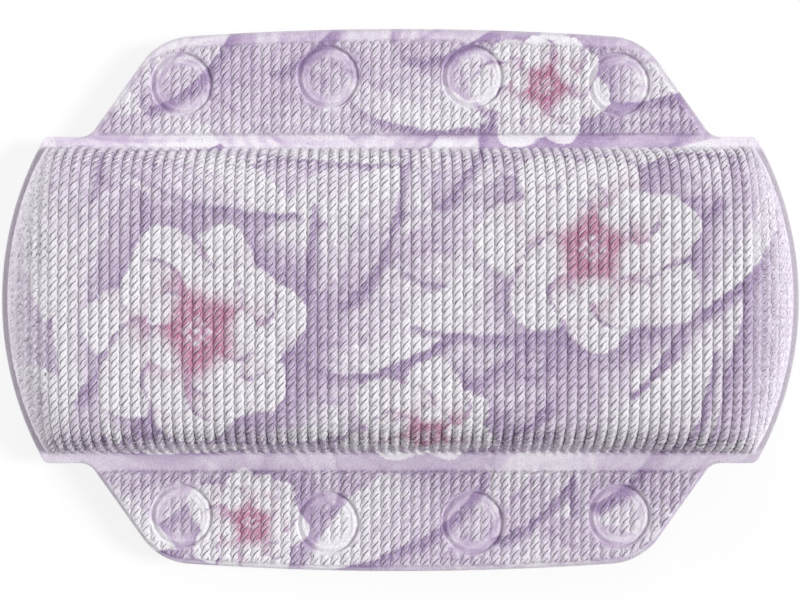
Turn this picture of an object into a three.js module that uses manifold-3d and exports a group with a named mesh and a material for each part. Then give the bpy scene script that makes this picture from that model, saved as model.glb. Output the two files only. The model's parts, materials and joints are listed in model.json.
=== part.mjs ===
// A welded bath pillow: a foam core between an embossed front sheet and a plain back sheet, with two flaps
// that carry suction cups. Millimetres. The pillow lies on its back: +Z points out of the crowned front,
// +Y to the upper flap, and the suction cups and the pillow's back rest on the plane z = 0.
import * as THREE from 'three';
import { mergeVertices } from 'three/addons/utils/BufferGeometryUtils.js';
import Module from 'manifold-3d';

const wasm = await Module();
wasm.setup();

// Pillow outline, seen from the front
const PILLOW_LENGTH = 320;
const PILLOW_HALF_WIDTH = 65.5;
const END_RADIUS = 133;
const EAR_CORNER_RADIUS = 4;

// Smooth welded margin round the crown
const WELD_BAND = 4;
const END_RIM = 2.6;

// Sheets, filling and crown
const WELDED_PLY = 0.9;
const FRONT_WALL = 2.4;
const BACK_WALL = 0.9;
const FOAM_CLEARANCE = 0.3;
const CROWN_HEIGHT = 30;
const SIDE_FULLNESS = 7;
const END_FULLNESS = 15;
const EDGE_ROUNDNESS = 0.5;
const BACK_FLATNESS = 1.08;

// Embossed ribs of the front sheet, which run across the pillow and its flaps
const RIB_PITCH = 4;
const RIB_DEPTH = 1.2;
const RIB_END_MARGIN = 4;

// Flap outline, measured from the hinge axis
const FLAP_LENGTH = 42.1;
const FLAP_ROOT_HALF_WIDTH = 124;
const FLAP_SIDE_LEAN = THREE.MathUtils.degToRad(35.4);
const FLAP_CORNER_RADIUS = 25;
const FLAP_EDGE_RADIUS = 1220;
const FLAP_ROOT_FILLET = 7;
const HINGE_CLEARANCE = 0.3;

// Embossed panel of a flap, inside its smooth welded margin
const FLAP_ROOT_MARGIN = 2.3;
const FLAP_SIDE_MARGIN = 2.8;
const UPPER_FLAP_MARGIN = 5;
const LOWER_FLAP_MARGIN = 2.8;
const PANEL_EDGE_ROUND = 0.8;

// Suction cups and the ring welds that hold them
const CUP_HEIGHT = 10.1;
const CUP_RADIUS = 14.5;
const CUP_RIM_WIDTH = 1.8;
const CUP_HOLLOW_DEPTH = 3.6;
const CUP_NECK_RADIUS = 5;
const CUP_NECK_HEIGHT = 1.6;
const CUP_FLANGE_RADIUS = 12.4;
const CUP_FLANGE_THICKNESS = 1;
const CUP_SHOULDER_RADIUS = 10.2;
const CUP_SHOULDER_HEIGHT = 5.2;
const CUP_SKIRT_HEIGHT = 2;
const RING_WELD_RADIUS = 12.5;
const RING_BEAD_RADIUS = 10.4;
const RING_ISLAND_RADIUS = 7.7;
const RING_WELD_FLOOR = 1.1;
const RING_BEAD_HEIGHT = 0.8;

// Places of the cups on a flap: how far in from its outer edge and its sides, and the inner pair's spacing
const CUP_EDGE_DISTANCE = 19.1;
const OUTER_CUP_SIDE_DISTANCE = 18.2;
const INNER_CUP_SPACING = 58;

// Facet counts
const HALF_COLUMNS = 10;
const HALF_ROWS = 7;
const BAND_ROWS = 3;
const END_COLUMNS = 5;
const COLUMN_CROWDING = 2.4;
const ROW_CROWDING = 1.8;
const FLAT_SHARE = 0.5;
const SLOPE_STEP = 0.001;
const CUP_SIDES = 20;
const RING_SIDES = 20;
const OUTLINE_STEPS = 12;
const POINT_SPACING = 0.05;
const JOIN_OVERLAP = 0.05;
const HINGE_STEPS = 5;

// Levels and places that follow from the sizes above
const SHEET_PLANE = CUP_HEIGHT + WELDED_PLY;
const HINGE_DISTANCE = PILLOW_HALF_WIDTH + HINGE_CLEARANCE + WELDED_PLY;
const FOOT_HALF_WIDTH = PILLOW_HALF_WIDTH - WELD_BAND;

const frontSheet = new THREE.MeshStandardMaterial({ color: 0xd0c4d6, roughness: 0.62, metalness: 0 });
const backSheet = new THREE.MeshStandardMaterial({ color: 0xe2dbe6, roughness: 0.5, metalness: 0 });
const foam = new THREE.MeshStandardMaterial({ color: 0xf0e8d0, roughness: 0.95, metalness: 0 });
const softCup = new THREE.MeshStandardMaterial({ color: 0xe4e6ea, roughness: 0.25, metalness: 0 });

// Closed solids for cutting and joining

function toSolid(geometry) {
  const bare = geometry.index ? geometry.toNonIndexed() : geometry.clone();
  bare.deleteAttribute('normal');
  bare.deleteAttribute('uv');
  const merged = mergeVertices(bare);
  const vertProperties = new Float32Array(merged.attributes.position.array);
  const triVerts = withoutSlivers(merged.index.array);
  const solid = new wasm.Manifold(new wasm.Mesh({ numProp: 3, vertProperties, triVerts }));
  if (solid.volume() > 0) {
    return solid;
  }
  const turned = triVerts.map((_, i) => triVerts[i - (i % 3) + 2 - (i % 3)]);
  return new wasm.Manifold(new wasm.Mesh({ numProp: 3, vertProperties, triVerts: turned }));
}

function withoutSlivers(index) {
  const kept = [];
  for (let i = 0; i < index.length; i += 3) {
    const [a, b, c] = [index[i], index[i + 1], index[i + 2]];
    if (a !== b && b !== c && c !== a) {
      kept.push(a, b, c);
    }
  }
  return new Uint32Array(kept);
}

function toGeometry(solid) {
  const mesh = solid.getMesh();
  const geometry = new THREE.BufferGeometry();
  geometry.setAttribute('position', new THREE.BufferAttribute(new Float32Array(mesh.vertProperties), 3));
  geometry.setIndex(new THREE.BufferAttribute(new Uint32Array(mesh.triVerts), 1));
  geometry.computeVertexNormals();
  return geometry;
}

function named(name, geometry, material) {
  const mesh = new THREE.Mesh(geometry, material);
  mesh.name = name;
  return mesh;
}

// Pillow: nested layers over one grid, each swelling from the welded margin to the crown

// Half the pillow's length at a distance y from its centre line, with the ears' corners rounded off.
function endReach(y) {
  const arc = PILLOW_LENGTH / 2 - END_RADIUS + Math.sqrt(END_RADIUS ** 2 - y ** 2);
  const past = Math.max(0, Math.abs(y) - (PILLOW_HALF_WIDTH - EAR_CORNER_RADIUS));
  return arc - EAR_CORNER_RADIUS + Math.sqrt(Math.max(0, EAR_CORNER_RADIUS ** 2 - past ** 2));
}

// Steps from -1 to 1, closer together towards both ends, where the crown is steep.
function crowdedSteps(half, crowding) {
  const steps = [];
  for (let k = -half; k <= half; k += 1) {
    steps.push(Math.sign(k) * (1 - (1 - Math.abs(k) / half) ** crowding));
  }
  return steps;
}

const columns = crowdedSteps(HALF_COLUMNS, COLUMN_CROWDING);
const rows = crowdedSteps(HALF_ROWS, ROW_CROWDING);

// Share of the full height: 0 along the foot of the crown, 1 over its middle.
function swell(s, t) {
  const across = 1 - Math.abs(t) ** SIDE_FULLNESS;
  const along = 1 - Math.abs(s) ** END_FULLNESS;
  return (across * along) ** EDGE_ROUNDNESS;
}

// The back is pressed flat where the pillow lies on it.
function flatSwell(s, t) {
  return Math.min(1, BACK_FLATNESS * swell(s, t));
}

function layerPoint(s, t, layer) {
  const y = t * (FOOT_HALF_WIDTH - layer.inset);
  const x = s * (endReach(y) - END_RIM - layer.inset);
  return new THREE.Vector3(x, y, layer.level + layer.height * layer.form(s, t));
}

// A layer's points inside the foot of the crown.
function innerGrid(layer) {
  return rows.map((t) => columns.map((s) => layerPoint(s, t, layer)));
}

// The same points with the flat margin round them, out to the pillow's outline.
function grid(layer) {
  const inside = innerGrid(layer).map((points, j) => {
    const y = rows[j] * FOOT_HALF_WIDTH;
    const left = new THREE.Vector3(-endReach(y), y, layer.level);
    const right = new THREE.Vector3(endReach(y), y, layer.level);
    return [left, ...points, right];
  });
  const below = [];
  const above = [];
  for (let k = 0; k < BAND_ROWS; k += 1) {
    const y = PILLOW_HALF_WIDTH - WELD_BAND * (k / BAND_ROWS) ** 2;
    below.push(bandRow(-y, layer.level));
    above.unshift(bandRow(y, layer.level));
  }
  return [...below, ...inside, ...above];
}

function bandRow(y, level) {
  const reach = endReach(y);
  const points = columns.map((s) => new THREE.Vector3(s * (reach - END_RIM), y, level));
  return [new THREE.Vector3(-reach, y, level), ...points, new THREE.Vector3(reach, y, level)];
}

// The strip of triangles between two lines of points, split along the shorter diagonals. Seen from outside,
// the second line lies on the right of the first.
function addStrip(positions, left, right) {
  const triangle = (...points) => points.forEach((p) => positions.push(p.x, p.y, p.z));
  let i = 0;
  let j = 0;
  while (i < left.length - 1 || j < right.length - 1) {
    const leftStep = i < left.length - 1 ? left[i + 1].distanceTo(right[j]) : Infinity;
    const rightStep = j < right.length - 1 ? left[i].distanceTo(right[j + 1]) : Infinity;
    if (rightStep <= leftStep) {
      triangle(left[i], right[j], right[j + 1]);
      j += 1;
    } else {
      triangle(left[i], right[j], left[i + 1]);
      i += 1;
    }
  }
}

function addStrips(positions, lines) {
  lines.slice(1).forEach((line, k) => addStrip(positions, lines[k], line));
}

// The outline of a grid, counter-clockwise from its first point and back to it.
function outlineOf(points) {
  const lastColumn = points[0].length - 1;
  const east = points.slice(1).map((row) => row[lastColumn]);
  const north = points[points.length - 1].slice(0, -1).reverse();
  const west = points.slice(0, -1).map((row) => row[0]).reverse();
  return [...points[0], ...east, ...north, ...west];
}

function closedBody(positions) {
  const geometry = new THREE.BufferGeometry();
  geometry.setAttribute('position', new THREE.Float32BufferAttribute(positions, 3));
  return toGeometry(toSolid(geometry));
}

// The closed body between two grids of points, one above the other, that share their outline. Where the
// upper side has more detail than its grid, its own triangles are given.
function bodyBetween(upper, lower, upperSide) {
  const positions = upperSide ? [...upperSide] : [];
  if (!upperSide) {
    addStrips(positions, [...upper].reverse());
  }
  addStrips(positions, lower);
  addStrip(positions, outlineOf(upper), outlineOf(lower));
  return closedBody(positions);
}

const crownLayer = {
  inset: 0,
  level: SHEET_PLANE + WELDED_PLY,
  height: CROWN_HEIGHT - WELDED_PLY,
  form: swell,
};
const crownLining = { inset: FRONT_WALL, level: SHEET_PLANE, height: CROWN_HEIGHT - FRONT_WALL, form: swell };
const backLining = { inset: BACK_WALL, level: SHEET_PLANE, height: BACK_WALL - SHEET_PLANE, form: flatSwell };
const backLayer = { inset: 0, level: SHEET_PLANE - WELDED_PLY, height: -CUP_HEIGHT, form: flatSwell };
const foamInset = Math.max(FRONT_WALL, BACK_WALL) + FOAM_CLEARANCE;
const foamTop = {
  inset: foamInset,
  level: SHEET_PLANE,
  height: crownLining.height - FOAM_CLEARANCE,
  form: swell,
};
const foamBottom = {
  inset: foamInset,
  level: SHEET_PLANE,
  height: backLining.height + FOAM_CLEARANCE,
  form: flatSwell,
};

// A point on the crown's outer side, sunk into it along its normal by a depth.
function crownPoint(x, t, depth) {
  const surface = (px, pt) => {
    const y = pt * FOOT_HALF_WIDTH;
    const s = Math.min(1, Math.abs(px) / (endReach(y) - END_RIM));
    return new THREE.Vector3(px, y, crownLayer.level + crownLayer.height * swell(s, pt));
  };
  const point = surface(x, t);
  if (depth === 0 || Math.abs(t) === 1) {
    return point;
  }
  const along = surface(x + SLOPE_STEP, t).sub(surface(x - SLOPE_STEP, t));
  const across = surface(x, t + SLOPE_STEP).sub(surface(x, t - SLOPE_STEP));
  return point.addScaledVector(along.cross(across).normalize(), -depth);
}

// Lines of points along Y over the crown, from its left end to its right: plain ones that follow the end
// arcs, and between them the crests and grooves of the ribs, which are straight.
function crownLines() {
  const shortest = endReach(FOOT_HALF_WIDTH) - END_RIM - RIB_END_MARGIN;
  const last = 2 * Math.floor(shortest / RIB_PITCH);
  const ribRows = rows.filter((t) => t === 0 || Math.abs(t) > FLAT_SHARE);
  const ribs = [];
  for (let k = -last; k <= last; k += 1) {
    const depth = k % 2 === 0 ? RIB_DEPTH : 0;
    ribs.push(ribRows.map((t) => crownPoint((k * RIB_PITCH) / 2, t, depth)));
  }
  const edge = (last * RIB_PITCH) / 2;
  const endLine = (share, side) => rows.map((t) => {
    const foot = endReach(t * FOOT_HALF_WIDTH) - END_RIM;
    return crownPoint(side * (edge + share * (foot - edge)), t, 0);
  });
  const shares = crowdedSteps(END_COLUMNS, ROW_CROWDING).filter((share) => share > 0);
  const left = shares.map((share) => endLine(share, -1)).reverse();
  const right = shares.map((share) => endLine(share, 1));
  return [...left, ...ribs, ...right];
}

// The front cover's outer side: the ribbed crown with its flat margin.
function ribbedSide(outer) {
  const inside = outer.slice(BAND_ROWS, -BAND_ROWS);
  const leftEdge = inside.map((row) => row[0]);
  const rightEdge = inside.map((row) => row[row.length - 1]);
  const lines = [leftEdge, ...crownLines(), rightEdge];
  const lowerFoot = lines.map((line) => line[0]);
  const upperFoot = lines.map((line) => line[line.length - 1]);
  const positions = [];
  addStrips(positions, lines);
  addStrips(positions, [lowerFoot, ...outer.slice(0, BAND_ROWS).reverse()]);
  addStrips(positions, [...outer.slice(-BAND_ROWS).reverse(), upperFoot]);
  return positions;
}

function makePillow() {
  const pillow = new THREE.Group();
  const outer = grid(crownLayer);
  pillow.add(named('front_cover', bodyBetween(outer, grid(crownLining), ribbedSide(outer)), frontSheet));
  pillow.add(named('back_cover', bodyBetween(grid(backLining), grid(backLayer)), backSheet));
  pillow.add(named('foam_core', bodyBetween(innerGrid(foamTop), innerGrid(foamBottom)), foam));
  return pillow;
}

// Flap: x along the hinge, y out from it, z out of the front, with the hinge axis at the origin

const alongSide = new THREE.Vector2(-Math.sin(FLAP_SIDE_LEAN), Math.cos(FLAP_SIDE_LEAN));
const sideInward = new THREE.Vector2(-Math.cos(FLAP_SIDE_LEAN), -Math.sin(FLAP_SIDE_LEAN));
const edgeCentre = new THREE.Vector2(0, FLAP_LENGTH - FLAP_EDGE_RADIUS);

// Where the flap's right-hand side, moved in by a margin, meets the hinge axis.
function sideStart(margin) {
  return new THREE.Vector2(FLAP_ROOT_HALF_WIDTH, 0).addScaledVector(sideInward, margin);
}

// The point that lies the given distances in from the flap's outer edge and from its right-hand side.
function insetCorner(fromEdge, fromSide) {
  const start = sideStart(fromSide);
  const offset = start.clone().sub(edgeCentre);
  const half = offset.dot(alongSide);
  const rest = offset.lengthSq() - (FLAP_EDGE_RADIUS - fromEdge) ** 2;
  return start.addScaledVector(alongSide, -half + Math.sqrt(half ** 2 - rest));
}

// Height of the arched outer edge, moved in by a distance, above the hinge axis.
function edgeHeight(x, fromEdge) {
  return edgeCentre.y + Math.sqrt((FLAP_EDGE_RADIUS - fromEdge) ** 2 - x ** 2);
}

// A flap's outline with its outer edge, its sides and its root drawn in by the given margins.
function flapOutline(edgeMargin, sideMargin, rootMargin) {
  const lean = FLAP_SIDE_LEAN;
  const edgeRadius = FLAP_EDGE_RADIUS - edgeMargin;
  const cornerRadius = FLAP_CORNER_RADIUS - sideMargin;
  const cornerCentre = insetCorner(edgeMargin + cornerRadius, sideMargin + cornerRadius);
  const turn = cornerCentre.clone().sub(edgeCentre).angle();

  const shape = new THREE.Shape();
  if (rootMargin > 0) {
    const start = sideStart(sideMargin);
    const rootReach = start.x + ((rootMargin - start.y) * alongSide.x) / alongSide.y;
    shape.moveTo(-rootReach, rootMargin);
    shape.lineTo(rootReach, rootMargin);
  } else {
    const fillet = filletCentre();
    shape.absarc(-fillet.x, fillet.y, FLAP_ROOT_FILLET, -lean, -0.5 * Math.PI, true);
    shape.absarc(fillet.x, fillet.y, FLAP_ROOT_FILLET, 1.5 * Math.PI, Math.PI + lean, true);
  }
  shape.absarc(cornerCentre.x, cornerCentre.y, cornerRadius, lean, turn, false);
  shape.absarc(edgeCentre.x, edgeCentre.y, edgeRadius, turn, Math.PI - turn, false);
  shape.absarc(-cornerCentre.x, cornerCentre.y, cornerRadius, Math.PI - turn, Math.PI - lean, false);
  return withoutRepeats(shape.getPoints(OUTLINE_STEPS));
}

// A closed shape through the points, leaving out those that repeat where two arcs meet.
function withoutRepeats(points) {
  const kept = points.filter((point, k) => {
    const next = points[(k + 1) % points.length];
    return point.distanceTo(next) > POINT_SPACING;
  });
  return new THREE.Shape(kept);
}

// Centre of the hollow fillet that leads from the flap's side into the pillow's ear.
function filletCentre() {
  const travel = (FLAP_ROOT_FILLET * (1 + sideInward.y)) / alongSide.y;
  const touch = sideStart(0).addScaledVector(alongSide, travel);
  return touch.addScaledVector(sideInward, -FLAP_ROOT_FILLET);
}

// Half-length of a flap's hinge edge, out to the tips of its fillets.
function hingeHalfLength() {
  const points = flapOutline(0, 0, 0).getPoints();
  return Math.max(...points.map((point) => point.x));
}

// The flap's welded ply, with its hinge edge rounded about the hinge axis so that it can turn.
function weldedPly(side) {
  const sheet = new THREE.ExtrudeGeometry(flapOutline(0, 0, 0), {
    depth: WELDED_PLY,
    bevelEnabled: false,
  });
  const edge = new THREE.Shape();
  if (side > 0) {
    edge.absarc(0, 0, WELDED_PLY, 0.5 * Math.PI, Math.PI, false);
    edge.lineTo(JOIN_OVERLAP, 0);
    edge.lineTo(JOIN_OVERLAP, WELDED_PLY);
  } else {
    sheet.translate(0, 0, -WELDED_PLY);
    edge.absarc(0, 0, WELDED_PLY, Math.PI, 1.5 * Math.PI, false);
    edge.lineTo(JOIN_OVERLAP, -WELDED_PLY);
    edge.lineTo(JOIN_OVERLAP, 0);
  }
  const reach = hingeHalfLength();
  const bar = new THREE.ExtrudeGeometry(edge, {
    depth: 2 * reach,
    bevelEnabled: false,
    curveSegments: HINGE_STEPS,
  });
  bar.translate(0, 0, -reach);
  const outAxis = new THREE.Vector3(0, 1, 0);
  const upAxis = new THREE.Vector3(0, 0, 1);
  const alongAxis = new THREE.Vector3(1, 0, 0);
  bar.applyMatrix4(new THREE.Matrix4().makeBasis(outAxis, upAxis, alongAxis));
  return toSolid(sheet).add(toSolid(bar));
}

// Centres of a flap's cups, from left to right.
function cupCentres() {
  const outer = insetCorner(CUP_EDGE_DISTANCE, OUTER_CUP_SIDE_DISTANCE);
  const innerX = INNER_CUP_SPACING / 2;
  const inner = new THREE.Vector2(innerX, edgeHeight(innerX, CUP_EDGE_DISTANCE));
  const mirrored = (point) => new THREE.Vector2(-point.x, point.y);
  return [mirrored(outer), mirrored(inner), inner, outer];
}

function revolved(profile, sides) {
  const lathe = new THREE.LatheGeometry(profile, sides);
  return lathe.rotateX(Math.PI / 2);
}

// The ring weld pressed into the front: a trough with a bead in it, round an embossed island.
function ringWeldCut() {
  const above = 2 * FRONT_WALL;
  const ease = (RING_WELD_RADIUS - RING_BEAD_RADIUS) / 3;
  const profile = [
    [RING_ISLAND_RADIUS - ease, above],
    [RING_ISLAND_RADIUS, FRONT_WALL - PANEL_EDGE_ROUND],
    [RING_ISLAND_RADIUS + ease, RING_WELD_FLOOR + ease / 2],
    [RING_BEAD_RADIUS - ease, RING_WELD_FLOOR + ease / 2],
    [RING_BEAD_RADIUS, RING_WELD_FLOOR + RING_BEAD_HEIGHT],
    [RING_BEAD_RADIUS + ease, RING_WELD_FLOOR],
    [RING_WELD_RADIUS - ease / 2, RING_WELD_FLOOR],
    [RING_WELD_RADIUS, above],
    [RING_ISLAND_RADIUS - ease, above],
  ];
  const points = profile.map(([radius, height]) => new THREE.Vector2(radius, height));
  return toSolid(revolved(points, RING_SIDES));
}

// What the emboss takes away from a flap's panel: the grooves between its ribs, inside a smooth border and
// clear of the ring welds.
function ribCut(edgeMargin) {
  const border = PANEL_EDGE_ROUND + JOIN_OVERLAP;
  const top = 2 * FRONT_WALL;
  const shape = flapOutline(edgeMargin + border, FLAP_SIDE_MARGIN + border, FLAP_ROOT_MARGIN + border);
  const inside = new THREE.ExtrudeGeometry(shape, { depth: top, bevelEnabled: false });

  const last = 2 * Math.ceil(FLAP_ROOT_HALF_WIDTH / RIB_PITCH);
  const comb = new THREE.Shape();
  comb.moveTo((last * RIB_PITCH) / 2, top + JOIN_OVERLAP);
  comb.lineTo((-last * RIB_PITCH) / 2, top + JOIN_OVERLAP);
  for (let k = -last; k <= last; k += 1) {
    const depth = k % 2 === 0 ? RIB_DEPTH : JOIN_OVERLAP;
    comb.lineTo((k * RIB_PITCH) / 2, FRONT_WALL - depth);
  }
  const above = new THREE.ExtrudeGeometry(comb, { depth: 2 * FLAP_LENGTH, bevelEnabled: false });
  above.rotateX(Math.PI / 2).translate(0, 2 * FLAP_LENGTH, 0);

  const ring = [
    [RING_ISLAND_RADIUS, 0],
    [RING_WELD_RADIUS - JOIN_OVERLAP, 0],
    [RING_WELD_RADIUS - JOIN_OVERLAP, 2 * top],
    [RING_ISLAND_RADIUS, 2 * top],
    [RING_ISLAND_RADIUS, 0],
  ].map(([radius, height]) => new THREE.Vector2(radius, height));
  let cut = toSolid(inside).intersect(toSolid(above));
  for (const centre of cupCentres()) {
    cut = cut.subtract(toSolid(revolved(ring, RING_SIDES)).translate(centre.x, centre.y, 0));
  }
  return cut;
}

function flapFront(edgeMargin) {
  const panelShape = flapOutline(edgeMargin, FLAP_SIDE_MARGIN, FLAP_ROOT_MARGIN);
  const panel = new THREE.ExtrudeGeometry(panelShape, {
    depth: FRONT_WALL - PANEL_EDGE_ROUND,
    bevelEnabled: true,
    bevelThickness: PANEL_EDGE_ROUND,
    bevelSize: PANEL_EDGE_ROUND,
    bevelOffset: -PANEL_EDGE_ROUND,
    bevelSegments: 2,
  });
  const half = new THREE.BoxGeometry(PILLOW_LENGTH, PILLOW_LENGTH, PILLOW_LENGTH);
  half.translate(0, 0, -PILLOW_LENGTH / 2);
  const ribbed = toSolid(panel).subtract(toSolid(half)).subtract(ribCut(edgeMargin));
  let solid = weldedPly(1).add(ribbed);
  for (const centre of cupCentres()) {
    solid = solid.subtract(ringWeldCut().translate(centre.x, centre.y, 0));
  }
  return toGeometry(solid);
}

// Points of the cup's hollow between its rim and its deepest point: a round vault.
function hollowCurve(radius) {
  return [1, 2].map((k) => {
    const turn = (k / 3) * (Math.PI / 2);
    return [radius * Math.cos(turn), CUP_HOLLOW_DEPTH * Math.sin(turn)];
  });
}

// One suction cup, standing on its sealing rim with its flange on top.
function suctionCup() {
  const flangeBottom = CUP_HEIGHT - CUP_FLANGE_THICKNESS;
  const neckBottom = flangeBottom - CUP_NECK_HEIGHT;
  const hollowRadius = CUP_RADIUS - CUP_RIM_WIDTH;
  const profile = [
    [0, CUP_HEIGHT],
    [CUP_FLANGE_RADIUS, CUP_HEIGHT],
    [CUP_FLANGE_RADIUS, flangeBottom],
    [CUP_NECK_RADIUS, flangeBottom],
    [CUP_NECK_RADIUS, neckBottom],
    [CUP_SHOULDER_RADIUS, CUP_SHOULDER_HEIGHT],
    [CUP_RADIUS - CUP_RIM_WIDTH / 2, CUP_SKIRT_HEIGHT],
    [CUP_RADIUS, 0],
    [hollowRadius, 0],
    ...hollowCurve(hollowRadius),
    [0, CUP_HOLLOW_DEPTH],
  ];
  const points = profile.map(([radius, height]) => new THREE.Vector2(radius, height));
  return toGeometry(toSolid(revolved(points, CUP_SIDES)));
}

function makeFlap(name, edgeMargin) {
  const flap = new THREE.Group();
  flap.add(named(`${name}_flap_front`, flapFront(edgeMargin), frontSheet));
  flap.add(named(`${name}_flap_back`, toGeometry(weldedPly(-1)), backSheet));
  cupCentres().forEach((centre, k) => {
    const cup = named(`${name}_suction_cup_${k + 1}`, suctionCup(), softCup);
    cup.position.set(centre.x, centre.y, -SHEET_PLANE);
    flap.add(cup);
  });
  return flap;
}

const bathPillow = new THREE.Group();
bathPillow.add(makePillow());

const upperFlap = makeFlap('upper', UPPER_FLAP_MARGIN);
upperFlap.position.set(0, HINGE_DISTANCE, SHEET_PLANE);
bathPillow.add(upperFlap);

const lowerFlap = makeFlap('lower', LOWER_FLAP_MARGIN);
lowerFlap.position.set(0, -HINGE_DISTANCE, SHEET_PLANE);
lowerFlap.rotation.z = Math.PI;
bathPillow.add(lowerFlap);

export default bathPillow;
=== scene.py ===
import json
import math

import bpy
import numpy as np
from mathutils.geometry import delaunay_2d_cdt
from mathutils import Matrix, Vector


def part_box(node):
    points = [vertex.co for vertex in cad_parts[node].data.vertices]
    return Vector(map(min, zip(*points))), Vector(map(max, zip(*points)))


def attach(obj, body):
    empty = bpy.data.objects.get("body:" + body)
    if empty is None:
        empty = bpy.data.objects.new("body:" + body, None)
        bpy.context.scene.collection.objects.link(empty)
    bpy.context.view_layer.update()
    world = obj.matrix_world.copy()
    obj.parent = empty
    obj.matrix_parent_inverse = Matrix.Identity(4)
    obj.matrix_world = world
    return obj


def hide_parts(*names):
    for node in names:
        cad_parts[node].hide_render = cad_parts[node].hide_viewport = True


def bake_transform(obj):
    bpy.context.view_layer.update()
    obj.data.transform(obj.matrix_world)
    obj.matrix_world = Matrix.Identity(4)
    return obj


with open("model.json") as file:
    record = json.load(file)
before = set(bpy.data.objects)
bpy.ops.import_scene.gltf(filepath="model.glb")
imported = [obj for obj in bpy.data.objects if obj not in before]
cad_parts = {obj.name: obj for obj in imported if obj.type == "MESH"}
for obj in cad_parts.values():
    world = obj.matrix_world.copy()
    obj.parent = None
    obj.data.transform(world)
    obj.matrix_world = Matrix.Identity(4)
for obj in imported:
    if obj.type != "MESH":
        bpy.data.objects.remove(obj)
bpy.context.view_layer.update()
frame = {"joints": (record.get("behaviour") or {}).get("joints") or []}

# A welded bath pillow: an embossed and printed front sheet, a plain back sheet, a foam core between them,
# and two flaps with suction cups. Metres. The front faces +Z and the upper flap lies towards +Y.

# Places and levels, from the frame
front_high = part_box("front_cover")[1]
flap_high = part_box("upper_flap_front")[1]
hinges = {joint["child"]: joint["pos_m"] for joint in frame["joints"]}
HALF_LENGTH = front_high.x
HALF_WIDTH = front_high.y
CROWN_TOP = front_high.z
BACK_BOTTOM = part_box("back_cover")[0].z
SHEET_PLANE = hinges["upper_flap"][2]
HINGE_DISTANCE = hinges["upper_flap"][1]
FLAP_LENGTH = flap_high.y - HINGE_DISTANCE

# Pillow outline and crown, as in the solids, but with tighter corners on the ears and wider rims at the ends
END_RADIUS = 0.133
EAR_CORNER_RADIUS = 0.0018
WELD_BAND = 0.004
END_RIM = 0.0034
WELDED_PLY = 0.0009
FRONT_WALL = 0.0024
BACK_WALL = 0.0009
FOAM_CLEARANCE = 0.0003
SIDE_FULLNESS = 7
END_FULLNESS = 15
EDGE_ROUNDNESS = 0.5
EDGE_DROP = 0.97
BACK_FLATNESS = 1.08

# Flap outline, as in the solids, and the margins round its embossed panel, where 1 stands for the upper flap
# and -1 for the lower one
SIDE_NAMES = {1: "upper", -1: "lower"}
FLAP_ROOT_HALF_WIDTH = 0.124
FLAP_SIDE_LEAN = math.radians(35.4)
FLAP_CORNER_RADIUS = 0.025
FLAP_EDGE_RADIUS = 1.220
FLAP_ROOT_FILLET = 0.007
FLAP_ROOT_MARGIN = {1: -0.0002, -1: 0.0024}
FLAP_SIDE_MARGIN = {1: 0.0028, -1: 0.0016}
FLAP_EDGE_MARGIN = {1: 0.005, -1: 0.0021}
FLAP_RIM = 0.0013
FLAP_RIM_GREYNESS = 0.6

# Suction cups, as in the solids, and the rings that their welds leave on the front
CUP_RADIUS = 0.0145
CUP_RIM_WIDTH = 0.0018
CUP_HOLLOW_DEPTH = 0.0036
CUP_NECK_RADIUS = 0.005
CUP_NECK_HEIGHT = 0.0016
CUP_FLANGE_RADIUS = 0.0124
CUP_FLANGE_THICKNESS = 0.001
CUP_SHOULDER_RADIUS = 0.0102
CUP_SHOULDER_HEIGHT = 0.0052
CUP_SKIRT_HEIGHT = 0.002
RING_ISLAND_RADIUS = 0.0077
RING_TROUGH_RADIUS = 0.0089
RING_BEAD_RADIUS = 0.0102
RING_FLOOR_RADIUS = 0.0121
RING_WELD_RADIUS = 0.0127

# Emboss of the front sheet: rope-like ribs along Y, with a slit across every cell
RIB_PITCH = 0.0040
CELL_PITCH = 0.00326
EMBOSS_DEPTH = 0.00090
RIB_ROUNDNESS = 1.12
SLIT_DEPTH = 1.1
SLIT_DEPTH_LEAST = 0.45
SLIT_DEPTH_SPREAD = 0.75
SLIT_RISE = 1.7
SLIT_JITTER = 0.22
EMBOSS_GRAIN = 0.12
GRAIN_DENSITY = (97, 89)
SCALLOP = 0.00034
STRAIGHT_RIBS = 34
FLANK_STRETCH = 0.45
END_STRETCH = 0.8

# How much is added to the emboss and to the shade painted into its creases, on the upper flank, lower flank
# and ends, and the slope that counts as flank. The lower flank, away from the lights, takes the most painted
# shade
EXTRA_DEPTH = (0.3, 1.2, 0.7)
EXTRA_CREASE_SHADE = (0.5, 1.7, 0.4)
FLANK_SLOPE = (0.5, 0.9)

# Where the emboss fades out, from the ends' feet and from the weld bands, and how much of it has crisp edges
END_FADE = (0.0008, 0.0050)
BAND_FADE = (0, 0.0009)
CRISP_MASK = 0.2

# Where the emboss bends: places across a rib from its left groove, with the slit's depth there, and places up
# a cell from its slit, with the height there. A point within ON_LINE of a groove or slit lies on it.
RIB_PLACES = np.array([0, 0.14, 0.38, 0.62, 0.86])
SLIT_SHARES = np.array([0, 0.35, 1, 0.92, 0.15])
CELL_PLACES = np.array([0, 0.14, 0.42, 0.70])
CELL_HEIGHTS = np.array([0.96, 0.99, 1.0, 0.96])
ON_LINE = 0.01

# Paler sheet at the ends and on the ears, painted light along the lower weld band with a paler print there,
# and the greyer rim beside it
END_PALE = (0.88, 0.96)
EAR_PALE_WIDTH = 0.012
EAR_PALENESS = 0.7
LOWER_BAND_PAINTED_LIGHT = 0.6
EAR_RIM_FADE = (0.022, 0.006)
RIM_FADE = (0.75, 1.15)

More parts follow.
